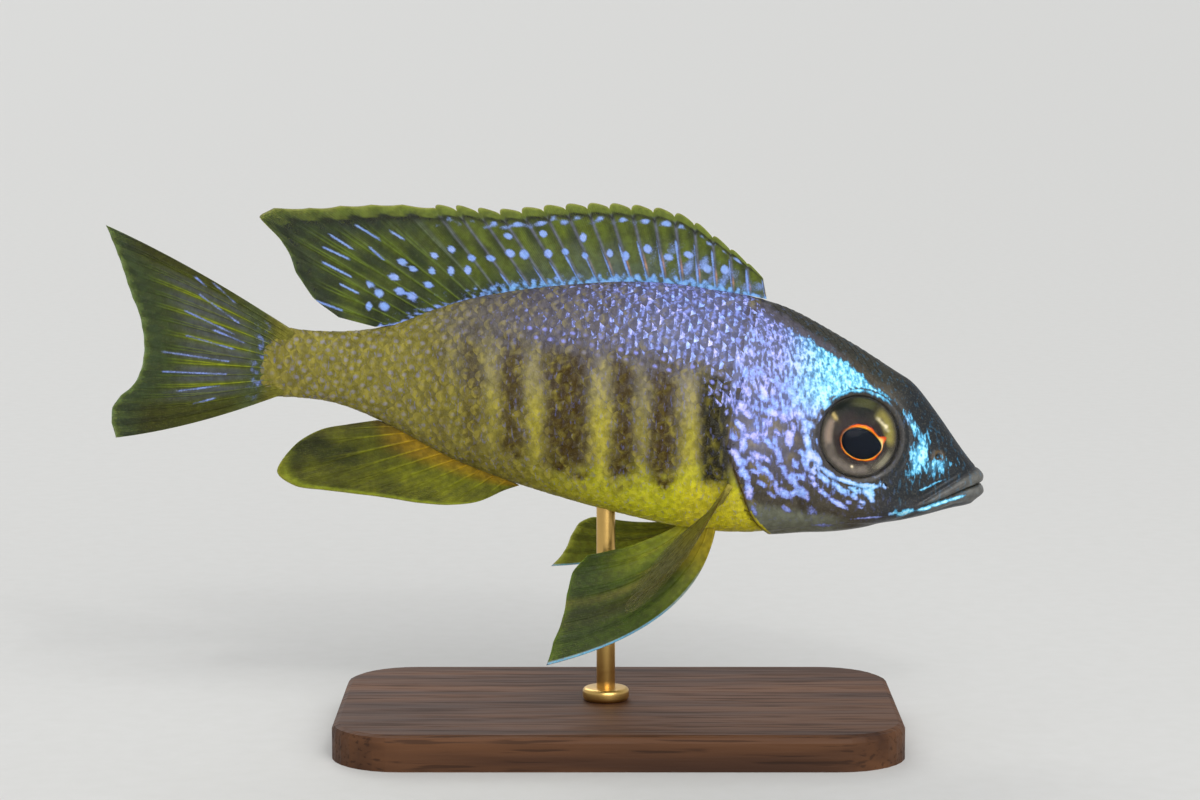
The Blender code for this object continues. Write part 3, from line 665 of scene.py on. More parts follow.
def iciness(behind, above, from_eye):
    """How icy the marks are rather than lilac: most on the crown and snout, less under the eye."""
    ice = short_of(across_photo(behind, above), 35, 10) * past(above, 5, 5)
    for more in (
        short_of(behind, 15, 2),
        (0.3 + 0.25 * short_of(behind, 25, 5)) * hill(from_eye - 8.6, 1.6),
        0.6 * hill(np.hypot(behind - 17.8, above + 5.0), 2.4),
    ):
        ice = np.maximum(ice, more)
    return np.clip(ice, 0, 1)


def large_strokes(behind, above):
    """The strength of the single large strokes, 0 away from them."""
    strokes = np.zeros_like(behind)
    for s, h, half_long, half_wide, lean, strength in STROKES + MORE_STROKES:
        lean = math.radians(lean)
        x, y = behind - s, above - h
        along = x * math.cos(lean) + y * math.sin(lean)
        over = y * math.cos(lean) - x * math.sin(lean)
        middle = np.hypot(along / half_long, over / half_wide)
        strokes = np.maximum(strokes, strength * (eased(1.6 - middle) + 0.3 * eased(1.1 - middle)))
    return strokes


def pearls(behind, above, from_eye):
    """How thickly pearly marks cover the skin here, how icy they are, and the strength of large strokes."""
    patchy = uneven(behind, above, 3, 5)
    flank = eased((above - 9.5 + patchy) / 4) * (1 - past(behind, 58, 40)) * past(behind, 40, 5)
    flank = (0.79 - 0.09 * past(behind, 54, 14)) * flank
    cover = np.maximum(head_cover(behind, above, from_eye, patchy), flank)
    cover = cover * (1 - hill(np.hypot(behind - NOSTRIL_AT[0], above - NOSTRIL_AT[1] - 0.3), 1.0))
    lid = 0.95 * hill(from_eye - 7.75, 0.28) * past(above, 8.5, 2.5) * past(behind, 16, 3)
    lid = lid * (0.75 + 0.3 * uneven(behind, above, 1.2, 9))
    strokes = np.maximum(large_strokes(behind, above), lid)
    ice = iciness(behind, above, from_eye)
    return np.stack((cover * past(from_eye, 7.9, 0.4), ice, strokes * past(from_eye, 7.3, 0.3)), -1)


def sheet_of_points(name, points, **values):
    """A grid primitive whose points are set in code, with its own map and values at its points."""
    down, wide = points.shape[:2]
    bpy.ops.object.select_all(action="DESELECT")
    bpy.ops.mesh.primitive_grid_add(x_subdivisions=wide - 1, y_subdivisions=down - 1, size=1, calc_uvs=True)
    piece = bpy.context.object
    piece.name = piece.data.name = name
    piece.location = (0, 0, 0)
    piece.data.vertices.foreach_set("co", points.reshape(-1))
    piece.data.uv_layers[0].name = "OFBake"
    add_values(piece, values)
    bpy.ops.object.mode_set(mode="EDIT")
    bpy.ops.mesh.select_all(action="SELECT")
    bpy.ops.mesh.remove_doubles(threshold=1e-7)
    bpy.ops.mesh.normals_make_consistent(inside=False)
    bpy.ops.object.mode_set(mode="OBJECT")
    bpy.ops.object.shade_smooth()
    return piece


def add_values(piece, values):
    """Named values at a piece's points: colours of four numbers, or triples."""
    for name, value in values.items():
        kind = "FLOAT_COLOR" if value.shape[-1] == 4 else "FLOAT_VECTOR"
        layer = piece.data.attributes.new(name, kind, "POINT")
        layer.data.foreach_set(
            "color" if kind == "FLOAT_COLOR" else "vector", value.reshape(-1).astype(np.float32)
        )


def ring_places():
    """Where the skin's rings lie: close on the head, wider apart along the trunk."""
    places = [0.0]
    while places[-1] < SKIN_END:
        s = places[-1]
        places.append(s + (0.1 if s < 1.2 else 0.27 if s < 46 else 0.27 + 0.55 * min((s - 46) / 8, 1)))
    places = np.array(places[:-1] + [SKIN_END])
    places[np.argmin(np.abs(places - GILL_RING))] = GILL_RING
    return places


rings = ring_places()
shares = np.append(np.linspace(0, 1, ROWS_ABOVE + 1), np.linspace(1, 2, ROWS_BELOW + 1)[1:])[None]
turn = even_turns(rings[:, None], shares)
behind = np.broadcast_to(rings[:, None], turn.shape).copy()
# The rings are drawn to the gill cover's rear edge, so that it stands up cleanly.
drawn = past(behind, 26, 15) * (1 - past(behind, GILL_RING, 15))
start = behind
for _ in range(4):
    above = body(behind, turn)[..., 2]
    behind = start + (through(GILL_EDGE, above) - GILL_RING) * drawn
# Round the eye the rings are drawn into circles, so that the orbit's rim is round.
seen = seen_by_eye(body(behind, turn))
middle = np.unravel_index(np.argmin(np.hypot(seen[..., 0], seen[..., 1]) + 99 * (turn > 1.5)), turn.shape)
ring_number = np.maximum(
    np.abs(np.arange(turn.shape[0])[:, None] - middle[0]), np.abs(np.arange(turn.shape[1])[None] - middle[1])
)
ORBIT_RINGS = 26
flat = seen[..., :2]
circle = unit(flat) * (ring_number * ORBIT_RADIUS / ORBIT_RINGS)[..., None]
away = eased((ring_number - ORBIT_RINGS - 3) / 17)[..., None]
aimed = circle * (1 - away) + flat * away
moved = ring_number < ORBIT_RINGS + 20
s, t = behind[moved], turn[moved]
for _ in range(8):
    here = seen_by_eye(body(s, t))[:, :2]
    by_s = (seen_by_eye(body(s + 0.02, t))[:, :2] - here) / 0.02
    by_t = (seen_by_eye(body(s, t + 0.001))[:, :2] - here) / 0.001
    miss = aimed[moved] - here
    area = by_s[:, 0] * by_t[:, 1] - by_s[:, 1] * by_t[:, 0]
    s = s + (miss[:, 0] * by_t[:, 1] - miss[:, 1] * by_t[:, 0]) / area
    t = t + (by_s[:, 0] * miss[:, 1] - by_s[:, 1] * miss[:, 0]) / area
behind[moved], turn[moved] = s, t

right = body(behind, turn)
right[:, (0, -1), 1] = 0
left = right * (1, -1, 1)
whole = np.concatenate((right, left[:, -2:0:-1]), 1)


def outward(points):
    """The outward direction at each point of a closed round of sections."""
    along = np.gradient(points, axis=0)
    around = np.roll(points, -1, 1) - np.roll(points, 1, 1)
    return unit(np.cross(around, along))


def both_sides(values):
    """Values of the right half laid on the whole round."""
    return np.concatenate((values, values[:, -2:0:-1]), 1)


from_eye = np.hypot(*np.moveaxis(seen_by_eye(right)[..., :2], -1, 0))
scaled_part = past(behind, 24, 10)
rise_of = relief(behind, right[..., 2], from_eye) - COAT_DEPTH * scaled_part
out = outward(whole)
# The skin's first half is the right flank, whose outward side is to the fish's right.
if out[60, ROWS_ABOVE, 1] > 0:
    out = -out
flesh = whole + out * both_sides(rise_of)[..., None]
# The socket behind each eye.
inside = (ring_number < ORBIT_RINGS) & (from_eye < ORBIT_RADIUS)
deep = -SOCKET_DEPTH * np.sqrt(1 - np.minimum(from_eye / ORBIT_RADIUS, 1) ** 2)
seat = seen_by_eye(right)
seat[..., 2] = deep
seat = seat @ ORBIT_AXES
seat = np.stack((EYE_AT[0] - seat[..., 0], seat[..., 1] - EYE_AT[1], seat[..., 2] + EYE_AT[2]), -1)
flesh[both_sides(inside)] = np.concatenate((seat, (seat * (1, -1, 1))[:, -2:0:-1]), 1)[both_sides(inside)]
# The tip of the snout closes in small rings.
tip = np.array((-0.1, 0.0, -0.6))
caps = [tip + (flesh[0] - tip) * share for share in (0.0, 0.3, 0.6, 0.85)]
flesh = np.concatenate((np.array(caps), flesh))
flesh[..., 0] -= pout(flesh[..., 2]) * (1 - past(flesh[..., 0], -0.3, 2.4))
flesh = np.concatenate((flesh, flesh[:, :1]), 1)
from_eye_round = np.concatenate((np.full((len(caps), ROWS_ROUND), 30.0), both_sides(from_eye)))
from_eye_round = np.concatenate((from_eye_round, from_eye_round[:, :1]), 1)
flat_behind, flat_above = laid_flat(flesh * (1, 0, 1) - (0, 1, 0) * np.abs(flesh[..., 1:2]))
skin = sheet_of_points(
    "skin",
    world_place(flesh),
    pigment=pigment(flat_behind, flat_above, (flesh[..., 0], flesh[..., 2])),
    pearl=pearls(flat_behind, flat_above, from_eye_round),
)


def effect(name, inputs, outputs):
    """A shader node group: its own tree, its inputs as wires and its outputs as sockets, by name."""
    group = bpy.data.node_groups.new(name, "ShaderNodeTree")
    for word, value in inputs.items():
        kind = "NodeSocketFloat" if isinstance(value, float) else "NodeSocketColor"
        group.interface.new_socket(word, in_out="INPUT", socket_type=kind).default_value = value
    for word in outputs:
        kind = "NodeSocketColor" if word == "Colour" else "NodeSocketFloat"
        group.interface.new_socket(word, in_out="OUTPUT", socket_type=kind)
    given = group.nodes.new("NodeGroupInput").outputs
    return group, {word: Wire(given[word]) for word in inputs}, group.nodes.new("NodeGroupOutput").inputs


def placed(group, **inputs):
    """Places a group among the wires that it is given, and returns what it gives out by name."""
    made = node("Group", inputs, node_tree=group).socket.node
    return {outlet.name: Wire(outlet) for outlet in made.outputs}


def attribute(tree, name, output=0):
    return node("Attribute", {}, output, tree, attribute_name=name)


def parted(tree, name):
    """The three numbers of a triple that lies at a piece's points."""
    made = node("SeparateXYZ", {0: attribute(tree, name, 1)}).socket.node
    return [Wire(outlet) for outlet in made.outputs]


def mottled_pigment(tree, clouds, specks):
    return placed(mottling, Pigment=attribute(tree, "pigment"), Clouds=clouds, Specks=specks)


# Living pigment is never even: darker clouds and pale specks a few tenths of a millimetre across.
mottling, given, result = effect(
    "mottling", {"Pigment": (0.1, 0.1, 0.1, 1), "Clouds": 0.35, "Specks": 0.25}, ("Colour", "Grain")
)
specks = grain(mottling, 0.0003, 3)
clouded = rise(grain(mottling, 0.0011, 3), 0.36, 0.64) * given["Clouds"]
tint = mixed(clouded, given["Pigment"], mixed(0.55, given["Pigment"], (22, 16, 10)))
speckled = rise(specks, 0.5, 0.72) * given["Specks"]
tint = mixed(speckled, tint, mixed(0.5, tint, (176, 168, 140)))
put(result["Colour"], tint)
put(result["Grain"], specks)

# Pearly marks, where crystals in the skin throw back blue light: deep blue at their edges and almost
# white at their middles, lilac on the flank and icy on the nape and snout.
pearly, given, result = effect(
    "pearly_marks",
    {"Pigment": (0.1, 0.1, 0.1, 1), "Level": 0.0, "Ice": 0.0, "Specks": 0.5, "Sparkle": 1.0},
    ("Colour", "Mark"),
)
mark = rise(given["Level"], -0.34, 0.16)
deep = mixed(given["Ice"], (96, 102, 160), (40, 108, 148))
middle = mixed(given["Ice"], (128, 140, 212), (88, 176, 218))
rosy = rise(grain(pearly, 0.0035, 2), 0.42, 0.6)
bright = mixed(given["Ice"], mixed(rosy, (148, 180, 250), (194, 190, 248)), (158, 232, 252))
glint = rise(grain(pearly, 0.00048, 2), 0.34, 0.66, -0.18, 0.22)
glint = given["Level"] + glint * given["Sparkle"]
shine = mixed(rise(glint, -0.3, 0.18), deep, middle)
shine = mixed(rise(glint, 0.12, 0.66), shine, bright)
shine = mixed(rise(glint, 0.55, 1.0, 0.0, 0.5), shine, (222, 232, 252))
shine = mixed(rise(given["Specks"], 0.55, 0.75, 0.0, 0.3), shine, bright)
put(result["Colour"], mixed(mark, given["Pigment"], shine))
put(result["Mark"], mark)

# Between thickly set marks the skin itself is bluer.
blue_ground, given, result = effect(
    "blue_ground", {"Pigment": (0.1, 0.1, 0.1, 1), "Cover": 0.0, "Ice": 0.0}, ("Colour",)
)
share = rise(given["Cover"], 0.35, 0.9, 0.0, 0.9)
blue = mixed(given["Ice"], (92, 102, 150), (62, 126, 158))
put(result["Colour"], mixed(share, given["Pigment"], blue))

# Where the marks lie thickly they run together in fine wavering streaks that lean down and forward.
streaky, given, result = effect("streaky_marks", {"Cover": 0.5, "Strokes": 0.0}, ("Level",))
vermiculate = grain(streaky, 0.00056, 2.6, (1.0, 1.0, 0.36), (0, math.radians(28), 0))
vermiculate = rise(vermiculate, 0.3, 0.7)
bare = (1.0 - given["Cover"]) * 1.34
spread = vermiculate - bare
struck = given["Strokes"] + vermiculate * 0.35
put(result["Level"], maths("MAXIMUM", spread, struck - 0.56))

moist_skin, tree, surface = finish(
    "moist_skin", {"Roughness": 0.45, "Coat Weight": 0.12, "Coat Roughness": 0.1, "Specular IOR Level": 0.25}
)
cover, ice, strokes = parted(tree, "pearl")
mottled = mottled_pigment(tree, 0.5, 0.15)
level = placed(streaky, Cover=cover, Strokes=strokes)["Level"]
under_pearls = placed(blue_ground, Pigment=mottled["Colour"], Cover=cover, Ice=ice)["Colour"]
pearled = placed(pearly, Pigment=under_pearls, Level=level, Ice=ice, Specks=mottled["Grain"])
pitted = mottled["Grain"] + pearled["Mark"] * 0.5
dress(surface, pitted, 0.00006, pearled["Colour"], Roughness=rise(pearled["Mark"], 0, 1, 0.45, 0.34))
skin.data.materials.append(moist_skin)
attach(skin, "root")
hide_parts("head", "lower_jaw", "torso", "tail")


# The scales. Thin bony plates, rooted in front in pockets of the skin and overlapping like roof tiles
# behind, in slanting rows from the nape to the tail fin's root, and much smaller on the head.
ARC_STEP = 0.25
ACROSS, ALONG = 9, 7
LATERAL_LINE = ((43, 7.4), (47, 9.2), (52, 10.6), (60, 11.6), (70, 12.4), (80, 12.6), (92, 11))


def arc_tables():
    """For each place along the body, the turn at each step of skin up or down from the midline."""
    places = np.arange(0, SKIN_END + 0.1, 1.0)
    climbs = np.arange(-45, 60.01, ARC_STEP)
    table = np.empty((len(places), len(climbs)))
    reach = np.empty((len(places), 2))
    fine = np.linspace(-0.5 * math.pi, 1.5 * math.pi, 400)
    for i, s in enumerate(places):
        line = body(np.full(400, s), fine)
        along = walked(line)
        middle = np.interp(math.pi / 2, fine, along)
        table[i] = np.interp(middle - climbs, along, fine)
        reach[i] = middle - np.interp(0, fine, along), np.interp(math.pi, fine, along) - middle
    return places, climbs, table, reach


PLACES, CLIMBS, TURNS, REACH = arc_tables()


def turn_at(behind, climb):
    """The turn of the skin this far up from the midline."""
    i = np.clip(behind, 0, SKIN_END - 0.01)
    j = np.clip((climb - CLIMBS[0]) / ARC_STEP, 0, len(CLIMBS) - 1.01)
    i0, j0 = i.astype(int), j.astype(int)
    fi, fj = i - i0, j - j0
    return (
        TURNS[i0, j0] * (1 - fi) * (1 - fj)
        + TURNS[i0 + 1, j0] * fi * (1 - fj)
        + TURNS[i0, j0 + 1] * (1 - fi) * fj
        + TURNS[i0 + 1, j0 + 1] * fi * fj
    )


def flesh_at(behind, climb, lift):
    """A point this far over the right flank's flesh, with its height above the axis."""
    turn = turn_at(behind, climb)
    spot = body(behind, turn)
    along = body(behind + 0.05, turn) - body(behind - 0.05, turn)
    around = body(behind, turn + 0.002) - body(behind, turn - 0.002)
    out = unit(np.cross(along, around))
    from_axis = spot * (0, 1, 1) - (0, 0, 1) * through(MIDLINE, behind)[..., None]
    out = np.where(np.sum(out * from_axis, -1, keepdims=True) < 0, -out, out)
    from_eye = np.hypot(*np.moveaxis(seen_by_eye(spot)[..., :2], -1, 0))
    stands = relief(behind, spot[..., 2], from_eye) - COAT_DEPTH * past(behind, 24, 10) + lift
    return spot + out * stands[..., None], spot[..., 2], from_eye


def scale_rows(first, last, pitch, row_pitch, low, high):
    """Roots of scales as (behind, climb), in rows along the body, each row half a scale on from the last."""
    roots = []
    row = 0
    climb = low
    while climb <= high:
        behind = first + (pitch / 2 if row % 2 else 0)
        while behind < last:
            narrow = 1 - 0.2 * min(max((behind - 60) / 55, 0), 1)
            roots.append((behind, climb * narrow))
            behind += pitch * (1 - 0.1 * min(max((behind - 60) / 55, 0), 1))
        climb += row_pitch
        row += 1
    return np.array(roots)


def plate_shape(lift):
    """One scale as a grid: its places across and along, and their heights, with the rim folded down."""
    across = np.linspace(-1, 1, ACROSS)[None]
    along = np.linspace(0, 1, ALONG)[:, None]
    rim = (np.abs(across) > 0.99) | (along < 0.01) | (along > 0.99)
    inner_across = np.sign(across) * np.minimum(np.abs(across) * 8 / 6, 1)
    inner_along = np.clip((along * 6 - 1) / 4, 0, 1)
    outline = 0.74 + 0.26 * np.sin(math.pi * np.clip(inner_along * 0.85 + 0.1, 0, 1))
    x = inner_across * outline
    y = inner_along * (1 - 0.42 * inner_across**2) + 0.06 * inner_across**2
    z = -0.1 + (lift + 0.1) * inner_along**0.8 - 0.1 * inner_across**2 * (1 - inner_along)
    return x, y, np.where(rim, z - 0.11, z)


def plate_faces(count, side):
    """The faces of this many scales, turned so that they look outward."""
    grid = np.arange(ACROSS * ALONG).reshape(ALONG, ACROSS)
    quads = np.stack((grid[:-1, :-1], grid[:-1, 1:], grid[1:, 1:], grid[1:, :-1]), -1).reshape(-1, 4)
    if side < 0:
        quads = quads[:, ::-1]
    return (quads[None] + (np.arange(count) * ACROSS * ALONG)[:, None, None]).reshape(-1, 4)


def plate_patches(roots, side, x, y):
    """A small patch of the map for each scale, at its root's place on the skin's own map."""
    share_along = np.interp(roots[:, 0], rings, np.arange(4, len(rings) + 4)) / (len(rings) + 3)
    ends = np.stack([np.interp(roots[:, 0], PLACES, REACH[:, k]) for k in (0, 1)])
    up = ROWS_ABOVE * (1 - roots[:, 1] / ends[0])
    down = ROWS_ABOVE - ROWS_BELOW * roots[:, 1] / ends[1]
    share_round = np.where(roots[:, 1] > 0, up, down) / ROWS_ROUND
    share_round = share_round if side < 0 else 1 - share_round
    own_u = share_round[:, None] + 0.0013 * x.reshape(-1)
    own_v = share_along[:, None] + 0.0026 * (y.reshape(-1) - 0.5)
    return np.stack((own_u, own_v), -1).reshape(-1, 2)


def scale_dots(behind, above):
    """The strength of the soft dots that scales carry towards the tail and along the lateral line."""
    dots = -0.3 + 0.95 * past(behind, 80, 20) * past(above, -9, 4)
    line = hill(above - through(LATERAL_LINE, behind), 1.9)
    return np.maximum(dots, 1.7 * line * (behind < 84) * (behind > 44.5) - 0.1)


def coat(name, roots, side, length, half_wide, lift, slot_name, seed):
    """One joined mesh of overlapping scales, each a thin arched plate on the flesh."""
    draw = np.random.default_rng(seed)
    count = len(roots)
    jitter = draw.uniform(-0.06, 0.06, (count, 2))
    x, y, z = plate_shape(lift)
    size = draw.uniform(0.95, 1.05, (count, 1, 1))
    behind = roots[:, 0, None, None] + jitter[:, 0, None, None] + length * size * y
    climb = roots[:, 1, None, None] + jitter[:, 1, None, None] + half_wide * size * x
    spots, above, from_eye = flesh_at(behind, climb, np.broadcast_to(z, behind.shape))
    flat_behind, flat_above = laid_flat(spots)
    marks = pearls(flat_behind, flat_above, from_eye)
    plate = np.empty(behind.shape + (3,))
    plate[..., 0], plate[..., 1] = x, y
    plate[..., 2] = draw.uniform(0, 1, (count, 1, 1))
    if slot_name == "body_skin":
        marks[..., 2] = scale_dots(flat_behind, flat_above)
    mesh = bpy.data.meshes.new(name)
    points = world_place(spots * (1, -side, 1)).reshape(-1, 3)
    mesh.from_pydata(points, [], plate_faces(count, side).tolist())
    piece = bpy.data.objects.new(name, mesh)
    scene.collection.objects.link(piece)
    pigments = pigment(flat_behind, flat_above, (behind, above))
    add_values(piece, {"pigment": pigments, "pearl": marks, "plate": plate})
    corners = np.empty(len(mesh.loops), np.int32)
    mesh.loops.foreach_get("vertex_index", corners)
    own_map = plate_patches(roots, side, x, y)[corners]
    mesh.uv_layers.new(name="OFBake").data.foreach_set("uv", own_map.reshape(-1))
    bpy.ops.object.select_all(action="DESELECT")
    piece.select_set(True)
    bpy.context.view_layer.objects.active = piece
    bpy.ops.object.shade_smooth_by_angle(angle=math.radians(35))
    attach(piece, "root")
    return piece


def trunk_roots():
    """The trunk's rows run back from the gill slit, and end at the fins' roots and the tail."""
    roots = scale_rows(first=31, last=121.5, pitch=2.45, row_pitch=1.62, low=-27, high=34)
    _, above, _ = flesh_at(roots[:, 0], roots[:, 1], np.zeros(len(roots)))
    up = np.interp(roots[:, 0], PLACES, REACH[:, 0])
    down = np.interp(roots[:, 0], PLACES, REACH[:, 1])
    keep = (roots[:, 1] < up + 0.4) & (roots[:, 1] > -down - 0.4)
    keep &= roots[:, 0] > through(GILL_EDGE, above) - 0.2
    return roots[keep]


def head_roots():
    """Smaller scales on the nape, the cheek and the gill cover."""
    roots = scale_rows(first=19, last=43, pitch=1.5, row_pitch=0.95, low=-14, high=33)
    _, above, from_eye = flesh_at(roots[:, 0], roots[:, 1], np.zeros(len(roots)))
    behind = roots[:, 0]
    up = np.interp(behind, PLACES, REACH[:, 0])
    keep = (roots[:, 1] < up + 0.3) & (from_eye > 9.4) & (behind < through(GILL_EDGE, above) - 1.6)
    crown = above > through(((19, 14), (24, 12), (30, 8), (43, 7)), behind)
    sides = (behind > 21) & (
        above > through(((21, -6), (30, -9), (36, -9.5), (43, -4)), behind)
    ) & (above < 9)
    from_cheek = behind - through(CHEEK_EDGE, above)
    return roots[keep & (crown | (sides & (np.abs(from_cheek - 1.0) > 1.1)))]


trunk_plates, tree, surface = finish(
    "trunk_plates",
    {"Roughness": 0.5, "Coat Weight": 0.06, "Coat Roughness": 0.15, "Specular IOR Level": 0.08},
)
cover, ice, dots = parted(tree, "pearl")
across, along, own = parted(tree, "plate")
mottled = mottled_pigment(tree, 0.6, 0.16)
tint = mottled["Colour"]
lightness = node("RGBToBW", {0: attribute(tree, "pigment")})
lit = rise(lightness, 0.04, 0.14, 0.06, 1.0)
# Painted shade: the front of each scale, which lies under the scale ahead, is darkened.
base = mixed(rise(along, 0.5, 0.8, 0.18, 0.0), tint, mixed(0.45, tint, (40, 32, 14)))
base = mixed(lit * rise(own, 0, 1, 0.0, 0.12), base, (150, 138, 80))
# The scale's free edge carries an upright dash, paler than the scale on the belly and lilac above.
wander = rise(grain(tree, 0.0011, 2), 0.25, 0.75, 0.7, 0.96)
off_dash = maths("ABSOLUTE", along - wander)
pale = rise(off_dash, 0.0, 0.22, 0.42, 0.0) * rise(grain(tree, 0.0016, 1.5, (1, 1, 0.5)), 0.35, 0.65)
pale = pale * rise(lightness, 0.03, 0.1, 0.4, 1.0)
base = mixed(pale, base, mixed(0.5, tint, (206, 190, 84)))
# Painted highlight: a paler rim along each scale's free edge, which lightens the shade at the rim.
base = mixed(rise(along, 0.9, 1.0, 0.0, 0.22), base, mixed(0.35, tint, (206, 190, 110)))
dusted = rise(grain(tree, 0.0006, 3, (1, 1, 0.6)), 0.54, 0.68, 0.0, 0.34)
dusted = dusted * rise(grain(tree, 0.006, 2), 0.4, 0.6, 0.1, 0.75) * lit
base = mixed(dusted, base, (120, 110, 146))
dash = rise(off_dash, 0.0, 0.42, 0.2, -0.32)
broken = rise(grain(tree, 0.0008, 2.5), 0.3, 0.7, -0.34, 0.24)
dash = dash + broken + ((0.95 - cover) * -0.87 - own * 0.2)
near_nape = rise(grain(tree, 0.00058, 2.4, (1, 1, 0.4)), 0.3, 0.7, -0.7, 0.34)
near_nape = near_nape - rise(ice, 0.0, 0.35, 0.5, 0.0)
level = maths("MINIMUM", maths("MAXIMUM", dash, near_nape), 0.34)
# Towards the tail and along the lateral line most scales carry a small soft dot instead.
off_dot = (across * 4.3) ** 2.0 + ((along - 0.76) * 7.8) ** 2.0 + mottled["Grain"] * 2.2
dot = rise(off_dot, 0.4, 2.8, 0.9, 0.0) * rise(dots - own, -0.3, 0.6)
on_line = rise(dots, 0.7, 1.1)
chosen = rise(maths("SINE", own * 40.0), -0.35, 0.1, 0.12, 1.0)
off_line = (1.0 - on_line) * rise(own, 0, 1, 0.5, 0.9)
dot = dot * (off_line + on_line * chosen)
base = mixed(dot, base, mixed(on_line, (146, 146, 190), (146, 154, 246)))
base = placed(blue_ground, Pigment=base, Cover=cover - 0.2, Ice=ice)["Colour"]
pearled = placed(pearly, Pigment=base, Level=level, Ice=ice, Specks=mottled["Grain"], Sparkle=0.45)
furrow = maths("SINE", along * 70.0) * 0.15 + mottled["Grain"]
dress(surface, furrow, 0.00005, pearled["Colour"], Roughness=rise(pearled["Mark"], 0, 1, 0.5, 0.4))

head_plates, tree, surface = finish(
    "head_plates", {"Roughness": 0.45, "Coat Weight": 0.1, "Coat Roughness": 0.1, "Specular IOR Level": 0.25}
)
cover, ice, strokes = parted(tree, "pearl")
across, along, own = parted(tree, "plate")
mottled = mottled_pigment(tree, 0.5, 0.15)
# Painted shade: the front of each scale, which lies under the scale ahead, is darkened.
tint = mixed(rise(along, 0.5, 0.8, 0.25, 0.0), mottled["Colour"], (30, 26, 22))
level = placed(streaky, Cover=cover, Strokes=strokes)["Level"]
level = level - rise(along, 0.45, 0.7, 0.12, 0.0)
tint = placed(blue_ground, Pigment=tint, Cover=cover, Ice=ice)["Colour"]
pearled = placed(pearly, Pigment=tint, Level=level, Ice=ice, Specks=mottled["Grain"])
wet = rise(pearled["Mark"], 0, 1, 0.45, 0.34)
dress(surface, mottled["Grain"], 0.00005, pearled["Colour"], Roughness=wet)
for side, word in ((-1, "right"), (1, "left")):
    trunk = coat(
        f"trunk_scales_{word}", trunk_roots(), side, length=3.5, half_wide=1.62, lift=0.07,
        slot_name="body_skin", seed=11,
    )
    trunk.data.materials.append(trunk_plates)
    small = coat(
        f"head_scales_{word}", head_roots(), side, length=2.2, half_wide=0.98, lift=0.05,
        slot_name="head_skin", seed=12,
    )
    small.data.materials.append(head_plates)


# The eyes. A living eye is a clear dome over a flat iris in brown, yellow and silver, with a dark lens
# that stands in a pupil drawn to a point in front, which a thin fiery ring surrounds.
EYE_RADIUS = 6.78
EYE_DOME = 1.9
PUPIL_AT = (0.55, -1.1)
AROUND = 240


def wrapped(angle):
    """An angle brought to within half a turn of 0."""
    return (angle + math.pi) % (2 * math.pi) - math.pi


def pupil_reach(angle):
    """The pupil's edge from its middle: an oval with a point in front and a little up."""
    oval = 1 / np.hypot(np.cos(angle + 0.22) / 3.34, np.sin(angle + 0.22) / 2.56)
    return oval + 0.42 * hill(wrapped(angle) + 0.02, 0.35)


def eye_points(side, forward, up, out):
    """Points of an eye as (forward, up, out) of its middle, in millimetres, in the world."""
    local = np.stack((forward, up, out), -1) @ ORBIT_AXES
    left = (local[..., 1] - EYE_AT[1]) * -side
    return world_place(np.stack((EYE_AT[0] - local[..., 0], left, local[..., 2] + EYE_AT[2]), -1))


